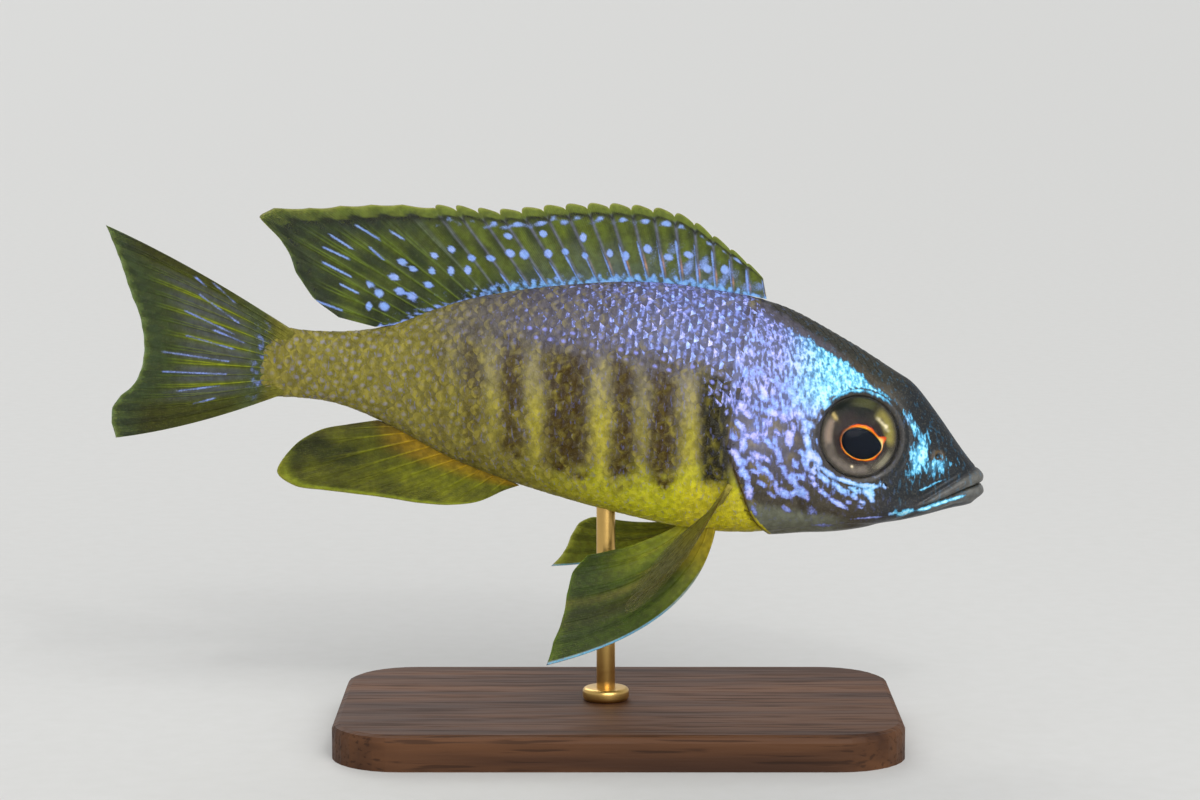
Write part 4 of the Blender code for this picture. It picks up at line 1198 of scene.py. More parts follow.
def eye_paint(x, y, angle, part):
    """The iris in brown, yellow and silver, the fiery ring, the dark pupil and the white behind."""
    tints = plain(x, (64, 58, 50))
    way = np.arctan2(y, x)
    radius = np.hypot(x, y) / EYE_RADIUS

    def toward_way(degrees, spread):
        return hill(wrapped(way - math.radians(degrees)), math.radians(spread))

    def arc(first, last, soft):
        turned = np.degrees(way - math.radians(first)) % 360
        reach = (last - first) % 360
        return eased(turned / soft) * past(reach, turned, soft) * (turned < reach)

    def band(inner, outer, soft=0.05):
        return past(radius, inner, soft) * past(outer, radius, soft)

    threads = 0.5 + 0.5 * uneven(way * 9, radius * 5, 1.3, 61)
    # Painted highlight: a bright near-white streak over the upper right of the iris.
    iris_highlight = hill(radius - 0.69 - 0.14 * (0.61 - way) - 0.04 * threads, 0.045) * arc(14, 58, 12)
    crack = hill(way - 2.62 + 0.25 * (radius - 0.7), 0.07) * band(0.44, 0.92, 0.06)
    tints = layers(
        tints,
        # Painted shade: the top of the iris darkened, as under the orbit's upper rim.
        ((12, 18, 16), arc(54, 156, 20)),
        ((84, 84, 48), arc(56, 118, 25) * band(0.72, 0.98) * 0.8),
        ((154, 142, 72), arc(-14, 66, 16) * band(0.58, 0.98, 0.16) * (0.8 + 0.2 * threads)),
        ((70, 60, 36), arc(8, 52, 10) * hill(radius - 0.72, 0.035) * 0.8),
        ((112, 102, 94), arc(148, 300, 14) * band(0.6, 0.98, 0.14) * (0.65 + 0.35 * threads)),
        ((160, 138, 122), arc(150, 205, 12) * band(0.62, 0.92, 0.14) * 0.85),
        ((122, 116, 96), arc(300, 350, 20) * band(0.8, 0.97) * 0.9),
        ((58, 50, 42), arc(205, 330, 20) * hill(radius - 0.66, 0.1) * 0.8),
        ((216, 190, 120), crack * (0.5 + 0.5 * threads)),
        # Painted highlights: the bright streak, and a small glint low on the iris.
        ((255, 240, 200), iris_highlight * (0.3 + 0.9 * threads)),
        ((255, 236, 190), hill(np.hypot(x / EYE_RADIUS + 0.06, y / EYE_RADIUS + 0.76), 0.03) * 0.9),
        ((42, 32, 34), (1 - past(part, 0.24, 0.22)) * (part > 0) * 0.9),
        ((48, 38, 40), arc(100, 172, 16) * (1 - past(part, 0.45, 0.2)) * (part > 0) * 0.9),
        ((46, 46, 46), past(radius, 0.95, 0.05)),
    )
    width = 0.1 + 0.3 * hill(wrapped(angle) - 0.26, 0.13) + 0.09 * hill(wrapped(angle) + 0.75, 0.4)
    width = width + 0.05 * hill(angle - 1.3, 0.6) + 0.02 * np.sin(11 * angle) * np.sin(4 * angle + 1)
    ring = (part > 0) * past(width, part, 0.04)
    ring_tint = plain(x, (224, 52, 2))
    fire = hill((part - 0.02) / width, 0.42) * (0.72 + 0.28 * np.sin(5 * angle + 0.6))
    ring_tint = layers(
        ring_tint,
        ((255, 190, 34), fire),
        ((255, 240, 170), fire * hill(wrapped(angle) - 0.05, 0.3)),
        ((104, 52, 34), toward_way(174, 32) * 0.9),
    )
    tints = tints + (ring_tint - tints) * np.clip(ring, 0, 1)[..., None]
    return layers(tints, ((6, 14, 26), (part <= 0.0) * 1.0), ((90, 84, 74), (part > 1) * 1.0))


def eyeball(name, side):
    """The pupil, ring and iris in front, and the white of the eye behind."""
    angle = np.linspace(0, 2 * math.pi, AROUND + 1)[None]
    pupil = np.linspace(0, 1, 14)[:, None]
    iris = np.linspace(0, 1, 52)[1:, None]
    back = np.linspace(0, 1, 14)[1:, None]
    edge = pupil_reach(angle)
    edge_x, edge_y = PUPIL_AT[0] + edge * np.cos(angle), PUPIL_AT[1] + edge * np.sin(angle)
    rim_x, rim_y = EYE_RADIUS * np.cos(angle), EYE_RADIUS * np.sin(angle)
    flat_iris = -0.62 + 0.5 * past(iris, 0.1, 0.9) + 0.16 * hill(iris - 0.05, 0.05)
    turned_back = np.cos(back * math.pi / 2)
    x, y = [
        (at + (edge - at) * pupil, edge + (rim - edge) * iris, rim * turned_back)
        for at, edge, rim in ((PUPIL_AT[0], edge_x, rim_x), (PUPIL_AT[1], edge_y, rim_y))
    ]
    lens_top = -0.75 + 0.45 * np.sqrt(np.clip(1 - pupil**2, 0, 1))
    x, y = np.concatenate(x), np.concatenate(y)
    z = np.concatenate((lens_top, flat_iris, -0.12 - 4.7 * np.sin(back * math.pi / 2))) + 0 * angle
    part = np.concatenate((pupil - 1, iris, 1 + back)) + 0 * angle
    values = np.stack((part, x / EYE_RADIUS, y / EYE_RADIUS), -1)
    tints = eye_paint(x, y, angle, part)
    return sheet_of_points(name, eye_points(side, x, y, z), pigment=tints, iris=values)


def cornea(name, side):
    """The clear front of the eye, a thin dome."""
    angle = np.linspace(0, 2 * math.pi, 97)[None]
    radius = np.sin(np.linspace(0, 1, 24) * math.pi / 2)[:, None]
    crown = np.sqrt(np.clip(1 - radius**2, 0, 1))
    outer, inner = EYE_DOME * crown, (EYE_DOME - 0.16) * crown
    radii = np.concatenate((radius * (EYE_RADIUS + 0.03), radius[::-1] * (EYE_RADIUS - 0.12)))
    heights = np.concatenate((outer, inner[::-1])) - 0.06
    x, y, z = radii * np.cos(angle), radii * np.sin(angle), heights + 0 * angle
    return sheet_of_points(name, eye_points(side, x, y, z))


iris_finish, tree, surface = finish("iris", {"Roughness": 0.4, "Specular IOR Level": 0.1})
part, x, y = parted(tree, "iris")
threads = grain(tree, 0.0006, 4)
tint = attribute(tree, "pigment")
on_iris = rise(part, 0.0, 0.02) * rise(threads, 0.45, 0.7, 0.0, 0.1)
tint = mixed(on_iris, tint, mixed(0.45, tint, (190, 176, 130)))
dress(
    surface, threads * rise(part, 0.0, 0.03), 0.00006, tint,
    Metallic=rise(part, 0.0, 0.03, 0.0, 0.15), Roughness=rise(part, -0.02, 0.02, 0.6, 0.36),
)
clear, tree, surface = finish(
    "cornea", {"Base Color": (0.97, 0.98, 0.98, 1), "Roughness": 0.0, "Transmission Weight": 1.0, "IOR": 1.1}
)
dress(surface, grain(tree, 0.004, 1), 0.00001)
for side, word in ((-1, "right"), (1, "left")):
    ball = eyeball(f"eyeball_{word}", side)
    ball.data.materials.append(iris_finish)
    dome = cornea(f"cornea_{word}", side)
    dome.data.materials.append(clear)
    for piece in (ball, dome):
        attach(piece, "root")
        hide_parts(f"eye_{word}")


# The fins. Each is a fan of bony rays with a thin skin stretched between them: stiff spines in the
# front of the dorsal fin, and soft rays that branch towards their tips everywhere else.
def curve_point(points, share):
    """The point at this share of the way along the smooth curve through points."""
    points = np.array(points, float)
    along = walked(points)
    reach = np.atleast_1d(share * along[-1])
    return np.stack([through(np.stack((along, points[:, axis]), -1), reach) for axis in range(3)], -1)[0]


def fan(count, roots, tips, knees=None):
    """Rays as (root, knee, tip), spread evenly along the smooth curves through those points."""
    rays = []
    for share in np.linspace(0, 1, count):
        root, tip = curve_point(roots, share), curve_point(tips, share)
        rays.append((root, curve_point(knees, share) if knees else (root + tip) / 2, tip))
    return np.array(rays)


def on_fin(rays, place, share):
    """Points of the fin's middle sheet at these places along its rays, counted in rays."""
    i = np.clip(place.astype(int), 0, len(rays) - 2)
    t = (place - i)[..., None]
    share = share[..., None]
    more = np.concatenate(([2 * rays[0] - rays[1]], rays, [2 * rays[-1] - rays[-2]]))
    before, near, far, after = [
        more[k, 0] * (1 - share) ** 2 + more[k, 1] * 2 * share * (1 - share) + more[k, 2] * share**2
        for k in (i, i + 1, i + 2, i + 3)
    ]
    curve = (2 * before - 5 * near + 4 * far - after) * t**2 + (3 * near - before - 3 * far + after) * t**3
    return near + 0.5 * ((far - before) * t + curve)


def ray_height(place, share, soft):
    """How much of a ray stands at this place: one spine, or a soft ray that branches twice."""
    off = place - np.round(place)
    first = 0.11 * past(share, 0.35, 0.3) * soft
    second = 0.055 * past(share, 0.65, 0.3) * soft
    wide = 0.075 - 0.03 * past(share, 0.3, 0.6) * soft
    height = 0
    for side in (-1, 1):
        for twin in (-1, 1):
            height = np.maximum(height, hill(off - side * first - twin * second, wide))
    return height


def fin(name, rays, margin, soft, tints, thick, fleshy, sink, steps=18, rows=44, wave=0.12):
    """A fin as one closed thin sheet with its rays raised on both faces."""
    last = len(rays) - 1
    places = np.linspace(0, last, last * steps + 1)[None]
    shares = 1 - (1 - np.linspace(0, 1, rows)[:, None]) ** 1.15
    place, share = np.broadcast_arrays(places, shares)
    reach = margin(place)
    v = -sink + (reach + sink) * share
    spot = on_fin(rays, place, v)
    before, after = [on_fin(rays, np.clip(place + aside, 0, last), v) for aside in (-0.4, 0.4)]
    lower, upper = [on_fin(rays, place, v + further) for further in (-0.05, 0.05)]
    out = unit(np.cross(after - before, upper - lower))
    softness = soft(place)
    ray = ray_height(place, share, softness)
    half = 0.06 + (thick * (1 - 0.6 * share) - 0.06) * ray * eased(share / 0.06)
    joints = 1 + 0.12 * softness * np.sin(share * 190) * ray * past(share, 0.2, 0.1)
    half = half * joints * (1 - 0.75 * past(share, 0.93, 0.07))
    half = half + fleshy * (1 - eased(share / 0.3)) ** 1.5
    half = half * np.sqrt(np.clip(np.minimum(place, last - place) / 0.12, 0, 1))
    half[-1] = 0
    slack = wave * np.sin(math.pi * (place % 1)) * np.sin(math.pi * np.clip(share, 0, 1))
    spot = spot + out * (slack * np.cos(place * 2.4))[..., None]
    sheet = np.concatenate((spot + out * half[..., None], (spot - out * half[..., None])[-2::-1]))
    values = (*tints(place, share, spot), np.stack((place, share, softness), -1))
    colour, pearl, layout = [np.concatenate((part, part[-2::-1])) for part in values]
    piece = sheet_of_points(name, world_place(sheet), pigment=colour, pearl=pearl, web=layout)
    piece.data.materials.append(web_skin)
    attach(piece, "root")
    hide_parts(name)


def roots_along(edge, first, last, count, raised):
    """Where rays start: places along the back's or the belly's edge, a little off it."""
    return [(s, 0, float(through(edge, s)) + raised) for s in np.linspace(first, last, count)]


OLIVE = (78, 92, 32)
DARK_OLIVE = (42, 52, 28)
LEAF = (94, 108, 40)
GREEN_RAY = (100, 118, 30)
SPINE_GREY = (112, 114, 138)
LINE_DARK = (28, 32, 22)
ORANGE = (186, 148, 30)

web_skin, tree, surface = finish(
    "fin_web",
    {
        "Roughness": 0.55, "Coat Weight": 0.03, "Coat Roughness": 0.15, "Specular IOR Level": 0.12,
        "Subsurface Weight": 0.4, "Subsurface Radius": (1.0, 1.0, 0.5), "Subsurface Scale": 0.0006,
    },
)
level, ice, clearness = parted(tree, "pearl")
place, share, softness = parted(tree, "web")
mottled = mottled_pigment(tree, 0.6, 0.08)
level = maths("MINIMUM", level + rise(mottled["Grain"], 0.3, 0.7, -0.57, -0.43), 0.3)
pearled = placed(
    pearly, Pigment=mottled["Colour"], Level=level, Ice=ice, Specks=mottled["Grain"], Sparkle=0.2
)
clear_here = clearness * rise(grain(tree, 0.0022, 3), 0.3, 0.7, 0.8, 1.0)
streaks = maths("SINE", place * 60.0) * 0.2 + mottled["Grain"]
dress(surface, streaks, 0.00005, pearled["Colour"], Alpha=1.0 - clear_here)


def blobs(behind, above, where, half=0.6):
    """Round pearly spots at these places of the side view, 1 in their middles."""
    total = np.zeros_like(behind)
    c, d = math.cos(0.5), math.sin(0.5)
    for number, (s, h) in enumerate(where):
        x, y = behind - s, above - h
        x, y = x / (1 + 0.22 * math.sin(7 * number)), y / (1 + 0.22 * math.cos(5 * number))
        along, over = np.abs((x * c + y * d) / half), np.abs((y * c - x * d) / (half * 0.86))
        reach = (along**2.6 + over**2.6) ** (1 / 2.6)
        total = np.maximum(total, 1.16 - 0.66 * reach**1.7)
    return total


def dashes(behind, above, where, half=0.3):
    """Pearly streaks between pairs of places of the side view, 1 along their middles."""
    total = np.zeros_like(behind)
    for (s0, h0), (s1, h1) in where:
        run = (s1 - s0) ** 2 + (h1 - h0) ** 2
        along = np.clip(((behind - s0) * (s1 - s0) + (above - h0) * (h1 - h0)) / run, 0, 1)
        off = np.hypot(behind - s0 - along * (s1 - s0), above - h0 - along * (h1 - h0))
        total = np.maximum(total, 1 - off / (2 * half))
    return total


# The dorsal fin. Sixteen bony spines with a lappet of skin behind each, then eleven soft rays drawn out
# to a point; its root is sunk into the back all along, and pearly spots and streaks lie on the web.
DORSAL_SPINES = 16
spine_roots = roots_along(BACK, 41.2, 84.0, DORSAL_SPINES, 0.3)
spine_tips = (
    (42.4, 0, 28.3), (45.6, 0, 30.4), (51.3, 0, 33.5), (58.2, 0, 36.3), (68, 0, 36.2), (78.2, 0, 34.4),
    (88, 0, 31.9), (96, 0, 31.2),
)
ray_roots = roots_along(BACK, 86.6, 106.5, 11, 0.3)
ray_tips = (
    (99.5, 0, 30.6), (105, 0, 30.2), (113.5, 0, 28.6), (121, 0, 26.8), (129, 0, 24.8), (124.5, 0, 21),
    (121.5, 0, 16.5), (119, 0, 13.5), (116, 0, 11), (112.5, 0, 9.4),
)
dorsal_rays = np.concatenate((fan(DORSAL_SPINES, spine_roots, spine_tips), fan(11, ray_roots, ray_tips)))


def dorsal_margin(place):
    """Behind each spine the web rises in a rounded lappet; among the soft rays it is barely notched."""
    off = place - np.floor(place)
    lappet = 0.96 + 0.09 * np.sqrt(off) * (1 - off**7) * 1.15
    plain = 1 - 0.014 * np.sin(math.pi * off)
    return np.where(place < DORSAL_SPINES - 0.001, lappet, plain)


DORSAL_SPOTS = (
    (49, 28.5), (52, 28.2), (55.5, 30), (58.8, 29.0), (62.5, 29.8), (66, 28), (68.7, 28), (72.8, 26.9),
    (76.2, 27), (79, 26.2), (83, 25.4), (85.4, 25.2), (88.5, 23.8), (91.7, 23.3), (92, 21.2), (94.8, 20.6),
    (98, 20), (98, 22.7), (98.2, 17.6), (102.8, 15.7), (105, 12.7), (103.2, 20.7), (101.2, 19.8), (108, 16),
    (107.6, 12.3), (73.6, 29.9), (80.4, 29.4), (86.2, 28.0), (104.2, 17.9), (100.6, 15.2), (106.2, 14.8),
    (95.3, 24.2),
)
DORSAL_STREAKS = (
    ((117, 11.8), (112, 10.8)), ((116, 23.2), (112, 21.5)), ((117, 21), (112, 19.6)),
    ((116.5, 18.4), (111.5, 16.8)), ((106, 25.5), (103.5, 24.5)), ((112, 25.6), (107.6, 23.8)),
    ((109, 22.2), (106.5, 20.6)), ((113, 15.2), (109.8, 14.2)),
)


def dorsal_pearls(place, share, behind, above, rear):
    """Spots and streaks on the web, and paler marks under its edge, beside the spines and at the root."""
    off = place - np.floor(place)
    pearl = np.maximum(
        blobs(behind, above, DORSAL_SPOTS, 0.68), 0.76 * dashes(behind, above, DORSAL_STREAKS, 0.2)
    )
    under_edge = 1 - np.hypot((off - 0.5) / 0.55, (share - 0.81) / 0.055)
    under_edge = under_edge * 0.8 + 0.5 * uneven(behind, above, 1.5, 23) - 0.05
    pearl = np.maximum(pearl, 0.85 * under_edge * (1 - past(place, 15, 3)) * past(place, 0.5, 1))
    beside = np.abs(place - np.round(place) - 0.1)
    reach = 0.8 - 0.04 * np.clip(place, 0, 16)
    edge = (
        0.66 + 0.22 * uneven(behind, above, 2.5, 24) - beside / 0.16
        + 0.6 * np.minimum(reach - share, 0.15)
    )
    pearl = np.maximum(
        pearl, np.clip(edge, 0, 1) * (1 - past(place, 15, 2)) * eased((reach + 0.1 - share) / 0.12)
    )
    wash = 0.36 + 0.3 * uneven(behind, above * 0.45, 1.4, 26) - 0.5 * np.abs(share - 0.3)
    pearl = np.maximum(pearl, wash * (1 - past(place, 4, 5)) * short_of(share, 0.7, 0.2) * 0.9)
    base = 0.66 * hill(share, 0.12 - 0.06 * rear) + 0.42 * uneven(behind, above, 0.9, 22)
    return np.maximum(pearl, base * short_of(share, 0.2, 0.1))


def dorsal_tints(place, share, spot):
    behind, above = laid_flat(spot)
    off = place - np.floor(place)
    rear = past(place, 15, 4)
    ray = ray_height(place, share, rear)
    patchy = uneven(behind, above, 4, 21)
    # Painted shadow: a darker streak in the web just behind each spine.
    dim = hill(off - 0.24, 0.16) * (1 - rear) * past(share, 0.12, 0.2) * short_of(share, 0.84, 0.1)
    lush = hill(off - 0.66, 0.2) * (1 - rear) * past(share, 0.35, 0.2) * short_of(share, 0.84, 0.1)
    band = 1 - past(place, 17, 7)
    front = 1 - past(place, 10, 6)
    margin = eased((share - 0.905 + 0.03 * np.sin(math.pi * off)) / 0.02)
    low_front = (1 - past(place, 7, 4)) * hill(share - 0.26, 0.1)
    colour = layers(
        plain(place, OLIVE),
        (DARK_OLIVE, 0.3 + 0.5 * patchy + 0.4 * rear),
        (SPINE_GREY, ray * 0.85 * (1 - rear)),
        (GREEN_RAY, ray * 0.85 * rear * (1 - past(share, 0.75, 0.2))),
        ((36, 46, 36), rear * past(share, 0.6, 0.25) * 0.8),
        ((30, 38, 34), hill(off - 0.5, 0.16) * rear * past(share, 0.2, 0.2) * 0.55),
        ((28, 36, 30), dim * (0.45 + 0.25 * patchy)),
        ((92, 108, 30), lush * (0.4 + 0.4 * uneven(behind, above, 2.2, 27))),
        (LINE_DARK, hill(share - 0.87, 0.035) * 0.9 * (0.35 + 0.65 * band)),
        (LEAF, margin * np.maximum(band, 0.6 * short_of(place, 19.5, 2))),
        ((150, 140, 60), past(share, 0.985, 0.012) * 0.6 * band),
        ((104, 116, 112), front * short_of(share, 0.7, 0.5) * 0.55 * (0.6 + 0.4 * patchy)),
        ((206, 150, 110), hill(place - np.round(place) + 0.04, 0.05) * low_front * 0.8),
    )
    pearl = dorsal_pearls(place, share, behind, above, rear)
    ice = 0.2 + 0.3 * hill(share - 0.04, 0.09) * (1 - rear)
    clear_web = 0.05 + 0.06 * past(share, 0.4, 0.5) * (1 - ray)
    return colour, np.stack((pearl, ice, clear_web), -1)


fin(
    "dorsal_fin",
    dorsal_rays,
    dorsal_margin,
    lambda place: past(place, 14.5, 2),
    dorsal_tints,
    thick=0.26,
    fleshy=0.5,
    sink=0.06,
)


# The tail fin. Sixteen branched bony rays and the skin between them, fixed side by side to the end of
# the backbone in a fleshy root, with the fin's rear edge a little hollow.
tail_tips = (
    (154.5, 0, 18.0), (152.1, 0, 14.1), (150.1, 0, 10.5), (148.5, 0, 7.3), (146.6, 0, 4.2), (145.1, 0, 0.1),
    (144.6, 0, -2.9), (144.9, 0, -6.4), (146.1, 0, -9.1), (148.2, 0, -11.5), (148.6, 0, -14.5),
    (147.2, 0, -17.9),
)
tail_knees = ((138.5, 0, 14.0), (134, 0, 6.8), (132.4, 0, 0.1), (132.4, 0, -6.6), (134.5, 0, -14.0))
tail_rays = fan(16, ((120.3, 0, 6.0), (120.3, 0, 0.2), (120.3, 0, -5.6)), tail_tips, tail_knees)


def even_margin(place):
    """A margin with a hardly visible notch between the rays."""
    return 1 - 0.003 * np.abs(np.sin(math.pi * place))


TAIL_STREAKS = (
    ((136.5, 9.6), (129, 5.8)), ((138.5, 6.4), (129.5, 3.8)), ((133, 3.9), (127.5, 2.6)),
    ((137.5, 2.2), (129, 1.2)), ((141, -1.2), (129.5, -1.0)), ((140.5, -4.6), (129.5, -3.2)),
    ((137.5, -7.5), (130.5, -5.4)), ((134.5, 12.0), (130, 9.0)), ((137.5, 12.4), (135.4, 11.0)),
    ((134.5, -9.2), (131, -7.6)),
)


def tail_tints(place, share, spot):
    behind, above = laid_flat(spot)
    ray = ray_height(place, share, 1.0)
    patchy = uneven(behind, above, 5, 41)
    edge = np.clip(short_of(place, 2.6, 2.4) + past(place, 11.6, 2.2), 0, 1)
    between_rays = hill((place % 1) - 0.5, 0.26)
    inner = past(share, 0.15, 0.2) * (1 - past(share, 0.6, 0.25)) * (1 - edge)
    strong = hill((place % 2) - 1, 0.45)
    colour = layers(
        plain(place, (46, 56, 28)),
        ((58, 62, 80), between_rays * inner * (0.6 + 0.3 * patchy)),
        ((70, 72, 96), (1 - strong) * inner * 0.5),
        ((96, 108, 24), strong * inner * 0.45),
        ((138, 148, 18), ray * (1 - past(share, 0.6, 0.3)) * (0.34 + 0.64 * strong) * (1 - 0.5 * edge)),
        ((74, 92, 28), ray * past(share, 0.5, 0.3) * 0.6),
        ((54, 56, 14), edge * (0.85 + 0.1 * patchy)),
        ((40, 42, 18), edge * past(share, 0.45, 0.4) * 0.7),
        ((124, 120, 42), (1 - past(share, 0.04, 0.16)) * 0.95),
        ((92, 104, 60), hill(share - 0.2, 0.08) * 0.5),
        ((48, 60, 42), past(share, 0.76, 0.18) * 0.75),
    )
    pearl = (0.54 + 0.14 * uneven(behind, above, 2.2, 44)) * dashes(behind, above, TAIL_STREAKS, 0.2)
    speckled = (
        (0.5 + 0.5 * uneven(behind, above, 1.1, 43)) * hill(behind - 124.5, 2.2)
        * short_of(np.abs(above), 9, 4)
    )
    pearl = np.maximum(pearl, 0.52 * speckled)
    clear_web = 0.05 * (1 - ray) * past(share, 0.3, 0.5) * (1 - edge)
    return colour, np.stack((pearl, 0.1 + 0 * pearl, clear_web), -1)


fin(
    "tail_fin", tail_rays, even_margin, np.ones_like, tail_tints,
    thick=0.3, fleshy=1.0, sink=0.02, steps=20, rows=52, wave=0.1,
)


# The anal fin. Twelve rays, the first three of them stiff spines, joined by a web that is orange where
# it leaves the belly; the root is sunk into the flesh.
anal_roots = roots_along(BELLY, 77.5, 103.5, 14, -0.3)
anal_tips = (
    (79.6, 0, -15.0), (81.4, 0, -16.6), (85.2, 0, -18.3), (91, 0, -19.6), (100, 0, -19.9), (108, 0, -20.3),
    (115, 0, -20.6), (118.7, 0, -20.0), (117.6, 0, -15.5), (114.5, 0, -11.5), (110.5, 0, -9.3),
    (107.5, 0, -8.3),
)
anal_rays = fan(12, anal_roots, anal_tips)


def anal_tints(place, share, spot):
    ray = ray_height(place, share, eased(place - 2.5))
    patchy = uneven(spot[..., 0], spot[..., 2], 4, 51)
    colour = layers(
        plain(place, (112, 114, 22)),
        ((42, 46, 14), 0.3 + 0.3 * patchy + 0.5 * past(place, 3, 5)),
        ((140, 142, 22), ray * (1 - past(share, 0.2, 0.6)) * 0.75),
        ((44, 46, 20), hill(place % 1 - 0.5, 0.12) * past(share, 0.2, 0.2) * 0.35),
        (ORANGE, (1 - past(share, 0.04, 0.3)) * (0.72 + 0.28 * ray) * (1 - 0.5 * past(place, 8, 3))),
        ((128, 138, 34), hill(share - 0.955, 0.03) * (1 - past(place, 7, 2)) * 0.9),
        ((74, 66, 40), past(place, 9, 2) * 0.5),
    )
    clear_web = 0.03 + 0.06 * (1 - ray) * past(share, 0.3, 0.5)
    return colour, np.stack((0 * share, 0 * share, clear_web), -1)


fin(
    "anal_fin", anal_rays, even_margin, lambda place: eased(place - 2.5), anal_tints,
    thick=0.26, fleshy=0.5, sink=0.08,
)


# The pelvic fins. A spine and five soft rays each, in a web that is stiffest in front, where the pale
# first ray is drawn out to a thread; both are rooted side by side under the breast.
def pelvic_tints(place, share, spot):
    ray = ray_height(place, share, eased(place - 0.5))
    rear = past(place, 2.8, 1.2) * (1 - past(share, 0.5, 0.4))
    lead = short_of(place, 0.17, 0.08)
    colour = layers(
        plain(place, (58, 76, 8)),
        ((104, 114, 30), short_of(place, 1.3, 0.5) * 0.8 * (1 - past(share, 0.3, 0.35))),
        ((58, 60, 12), hill(place - 1.9, 0.55) * 0.9),
        ((112, 104, 40), hill(place - 2.6, 0.2) * 0.6),
        ((172, 152, 30), (1 - past(share, 0.08, 0.3)) * 0.85),
        ((140, 124, 34), ray * (1 - past(share, 0.3, 0.4)) * 0.7 * eased(place - 1)),
        ((36, 48, 14), past(share, 0.55, 0.4) * 0.65),
        ((120, 126, 20), rear * 0.65),
        # Painted light: the left fin, which faces away from the light, is painted lighter to make up for its
        # shade.
        ((150, 158, 52), (spot[..., 1] > 0) * 0.45),
        ((150, 168, 170), lead * past(share, 0.2, 0.2) * 0.85),
    )
    clear_web = 0.05 * (1 - ray) * past(share, 0.35, 0.5) * (1 - lead)
    return colour, np.stack((0.45 * lead * past(share, 0.3, 0.3), 1 + 0 * share, clear_web), -1)


right_roots = ((43.2, -3.4, -14.6), (45.7, -2.2, -14.8), (48.2, -1.2, -14.8))
right_tips = (
    (67.9, -15, -40.9), (67.4, -13.6, -37.2), (66.5, -12, -33), (66.4, -10.5, -29), (66, -8.4, -25.6),
    (64, -6, -22.8),
)
right_knees = ((43.0, -9, -31.2), (50, -7.4, -28.6), (54.2, -4.2, -19.6))
left_roots = tuple((s, -left, h) for s, left, h in right_roots)
left_tips = (
    (69.4, 20, -30.2), (67.5, 19, -26.8), (67, 17.5, -24.3), (66.2, 15.5, -21.5), (64.5, 13, -19.4),
    (61, 10, -18.4),
)
left_knees = ((51, 10.5, -24.5), (54, 8.5, -21.5), (54.6, 5.2, -18.2))
for word, roots, tips, knees in (
    ("right", right_roots, right_tips, right_knees),
    ("left", left_roots, left_tips, left_knees),
):
    fin(
        f"pelvic_fin_{word}", fan(6, roots, tips, knees), even_margin, lambda place: eased(place - 0.5),
        pelvic_tints, thick=0.3, fleshy=0.45, sink=0.02, steps=36, rows=56, wave=0.2,
    )


# The pectoral fins: clear paddles of twelve soft rays on a fleshy root behind each gill cover. The
# right one is swept down and out, and the left one spread back along the flank.
PECTORAL_BLADE = (
    (16, -6.2), (22, -6.4), (27, -4.9), (29.6, -2.2), (28.8, 1.0), (25.6, 3.7), (21, 5.5), (15.5, 6.2),
    (10.8, 5.3),
)


def pectoral_rays(roots, along, across):
    middle = curve_point(roots, 0.5)
    along = unit(np.array(along))
    across = unit(np.array(across) - along * np.dot(along, across))
    return fan(
        12, roots, [middle + along * reach * 0.95 + across * spread for reach, spread in PECTORAL_BLADE]
    )


def pectoral_tints(place, share, spot):
    ray = ray_height(place, share, 1.0)
    colour = layers(
        plain(place, (112, 108, 40)),
        ((128, 116, 46), ray * 0.5),
        ((122, 72, 24), hill(place - 1.2, 0.7) * (1 - past(share, 0.4, 0.4)) * 0.5),
        ((92, 92, 66), past(share, 0.3, 0.4) * 0.6),
        ((170, 156, 66), (1 - eased(share / 0.2)) * 0.8),
    )
    clear_web = 0.08 + (0.26 * (1 - ray) + 0.1) * past(share, 0.12, 0.3) + 0.5 * past(share, 0.62, 0.36)
    return colour, np.stack((0 * share, 0 * share, clear_web), -1)


pectorals = {
    "right": pectoral_rays(
        ((42.3, -9.4, -6.4), (42.8, -8.6, -8.0), (43.2, -7.6, -9.6)),
        (0.5, -0.46, -0.75),
        (0.3, 0.93, -0.15),
    ),
    "left": pectoral_rays(
        ((42.4, 8.6, -6.0), (42.8, 8.5, -8.0), (43.2, 8.1, -9.9)), (0.95, 0.27, 0.05), (0.0, -0.1, -1.0)
    ),
}
for word, rays in pectorals.items():
    fin(
        f"pectoral_fin_{word}", rays, even_margin, np.ones_like, pectoral_tints,
        thick=0.09, fleshy=0.45, sink=0.0, steps=20, rows=52, wave=0.04,
    )


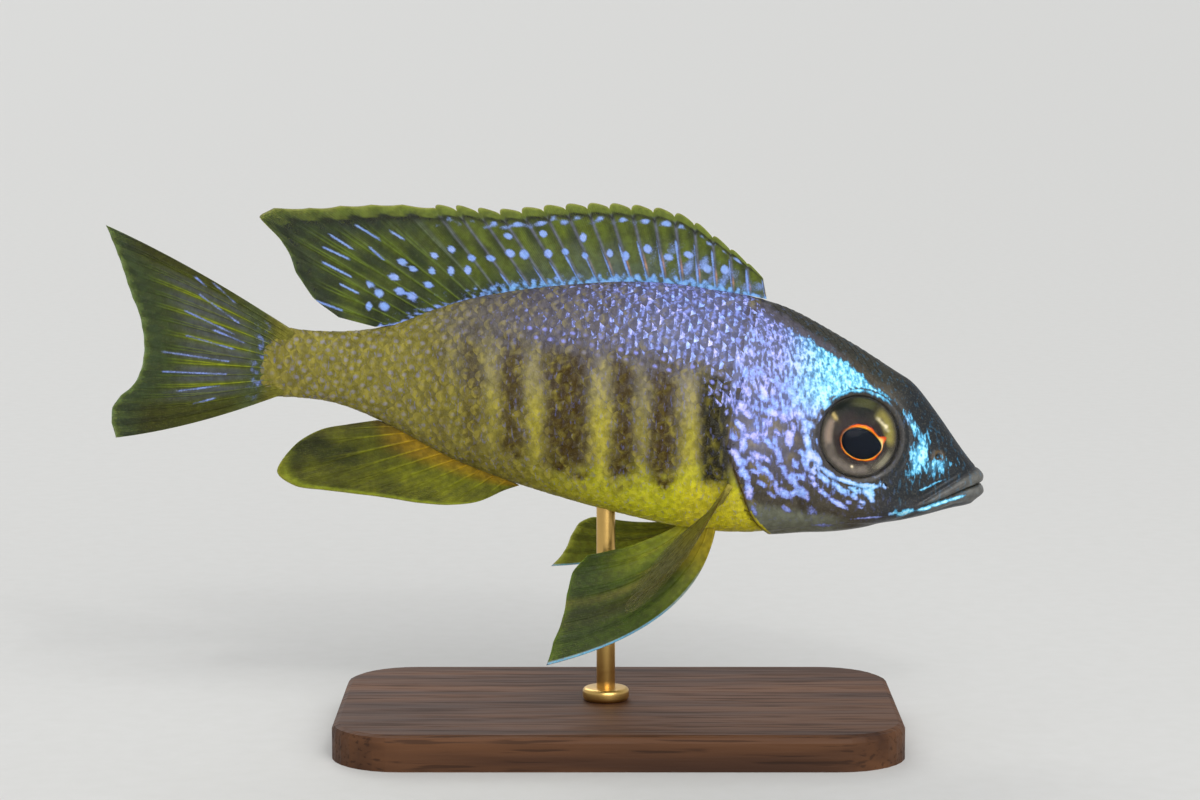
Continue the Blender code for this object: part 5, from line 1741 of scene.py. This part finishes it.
# The stand's base. A flat plate of dark hardwood with rounded corners and a softened edge, sanded and
# oiled; the solid's own shape is right, so it gets the wood.
oiled_wood, tree, surface = finish("oiled_wood", {"Roughness": 0.6, "Specular IOR Level": 0.18})
warped = grain(tree, 0.05, 2, (0.4, 1, 1))
rings_of_wood = grain(tree, 0.006, 3, (0.08, 1, 1))
pores = grain(tree, 0.0007, 2, (0.05, 1, 1))
tint = mixed(rise(rings_of_wood, 0.3, 0.7), (62, 38, 24), (104, 68, 42))
tint = mixed(rise(warped, 0.3, 0.7, 0.0, 0.3), tint, (40, 24, 16))
tint = mixed(rise(pores, 0.56, 0.68, 0.0, 0.55), tint, (30, 18, 12))
dress(surface, 1.0 - pores, 0.00008, tint, Roughness=rise(pores, 0.4, 0.7, 0.55, 0.7))
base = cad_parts["stand_base"]
base.data.materials.clear()
base.data.materials.append(oiled_wood)


# The stand's rod. A thin brass rod in a turned collar that stands on the base, both brushed round and
# round on the lathe; the rod ends inside the belly.
ROD_X, ROD_RADIUS, ROD_FOOT, ROD_TOP = 10.9, 1.6, 6.0, 39.9
COLLAR_RADIUS, COLLAR_HEIGHT = 4.0, 2.2


def turned(name, radius, foot, top, softened):
    """A round turned piece standing upright, with its top edge and foot softened."""
    bpy.ops.object.select_all(action="DESELECT")
    bpy.ops.mesh.primitive_cylinder_add(vertices=72, radius=radius * MM, depth=(top - foot) * MM)
    piece = bpy.context.object
    piece.name = piece.data.name = name
    piece.location = (ROD_X * MM, 0, (top + foot) / 2 * MM)
    bpy.ops.object.transform_apply(location=True, rotation=True, scale=True)
    soften = piece.modifiers.new("softened", "BEVEL")
    soften.width, soften.segments, soften.limit_method = softened * MM, 4, "ANGLE"
    bpy.ops.object.modifier_apply(modifier="softened")
    bpy.ops.object.shade_smooth_by_angle(angle=math.radians(40))
    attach(piece, "root")
    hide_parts("stand_rod")
    return piece


brushed_brass, tree, surface = finish("brushed_brass", {"Metallic": 1.0, "Roughness": 0.3})
brushing = grain(tree, 0.0006, 2, (0.1, 0.1, 1.6))
worn = rise(grain(tree, 0.006, 3), 0.4, 0.7, 0.0, 0.25)
dress(
    surface, brushing, 0.000003, mixed(worn, (216, 178, 104), (168, 130, 70)),
    Roughness=rise(brushing, 0.3, 0.7, 0.28, 0.36),
)
for rod_piece in (
    turned("brass_rod", ROD_RADIUS, ROD_FOOT, ROD_TOP, 0.15),
    turned("rod_collar", COLLAR_RADIUS, ROD_FOOT, ROD_FOOT + COLLAR_HEIGHT, 0.7),
):
    rod_piece.data.materials.append(brushed_brass)
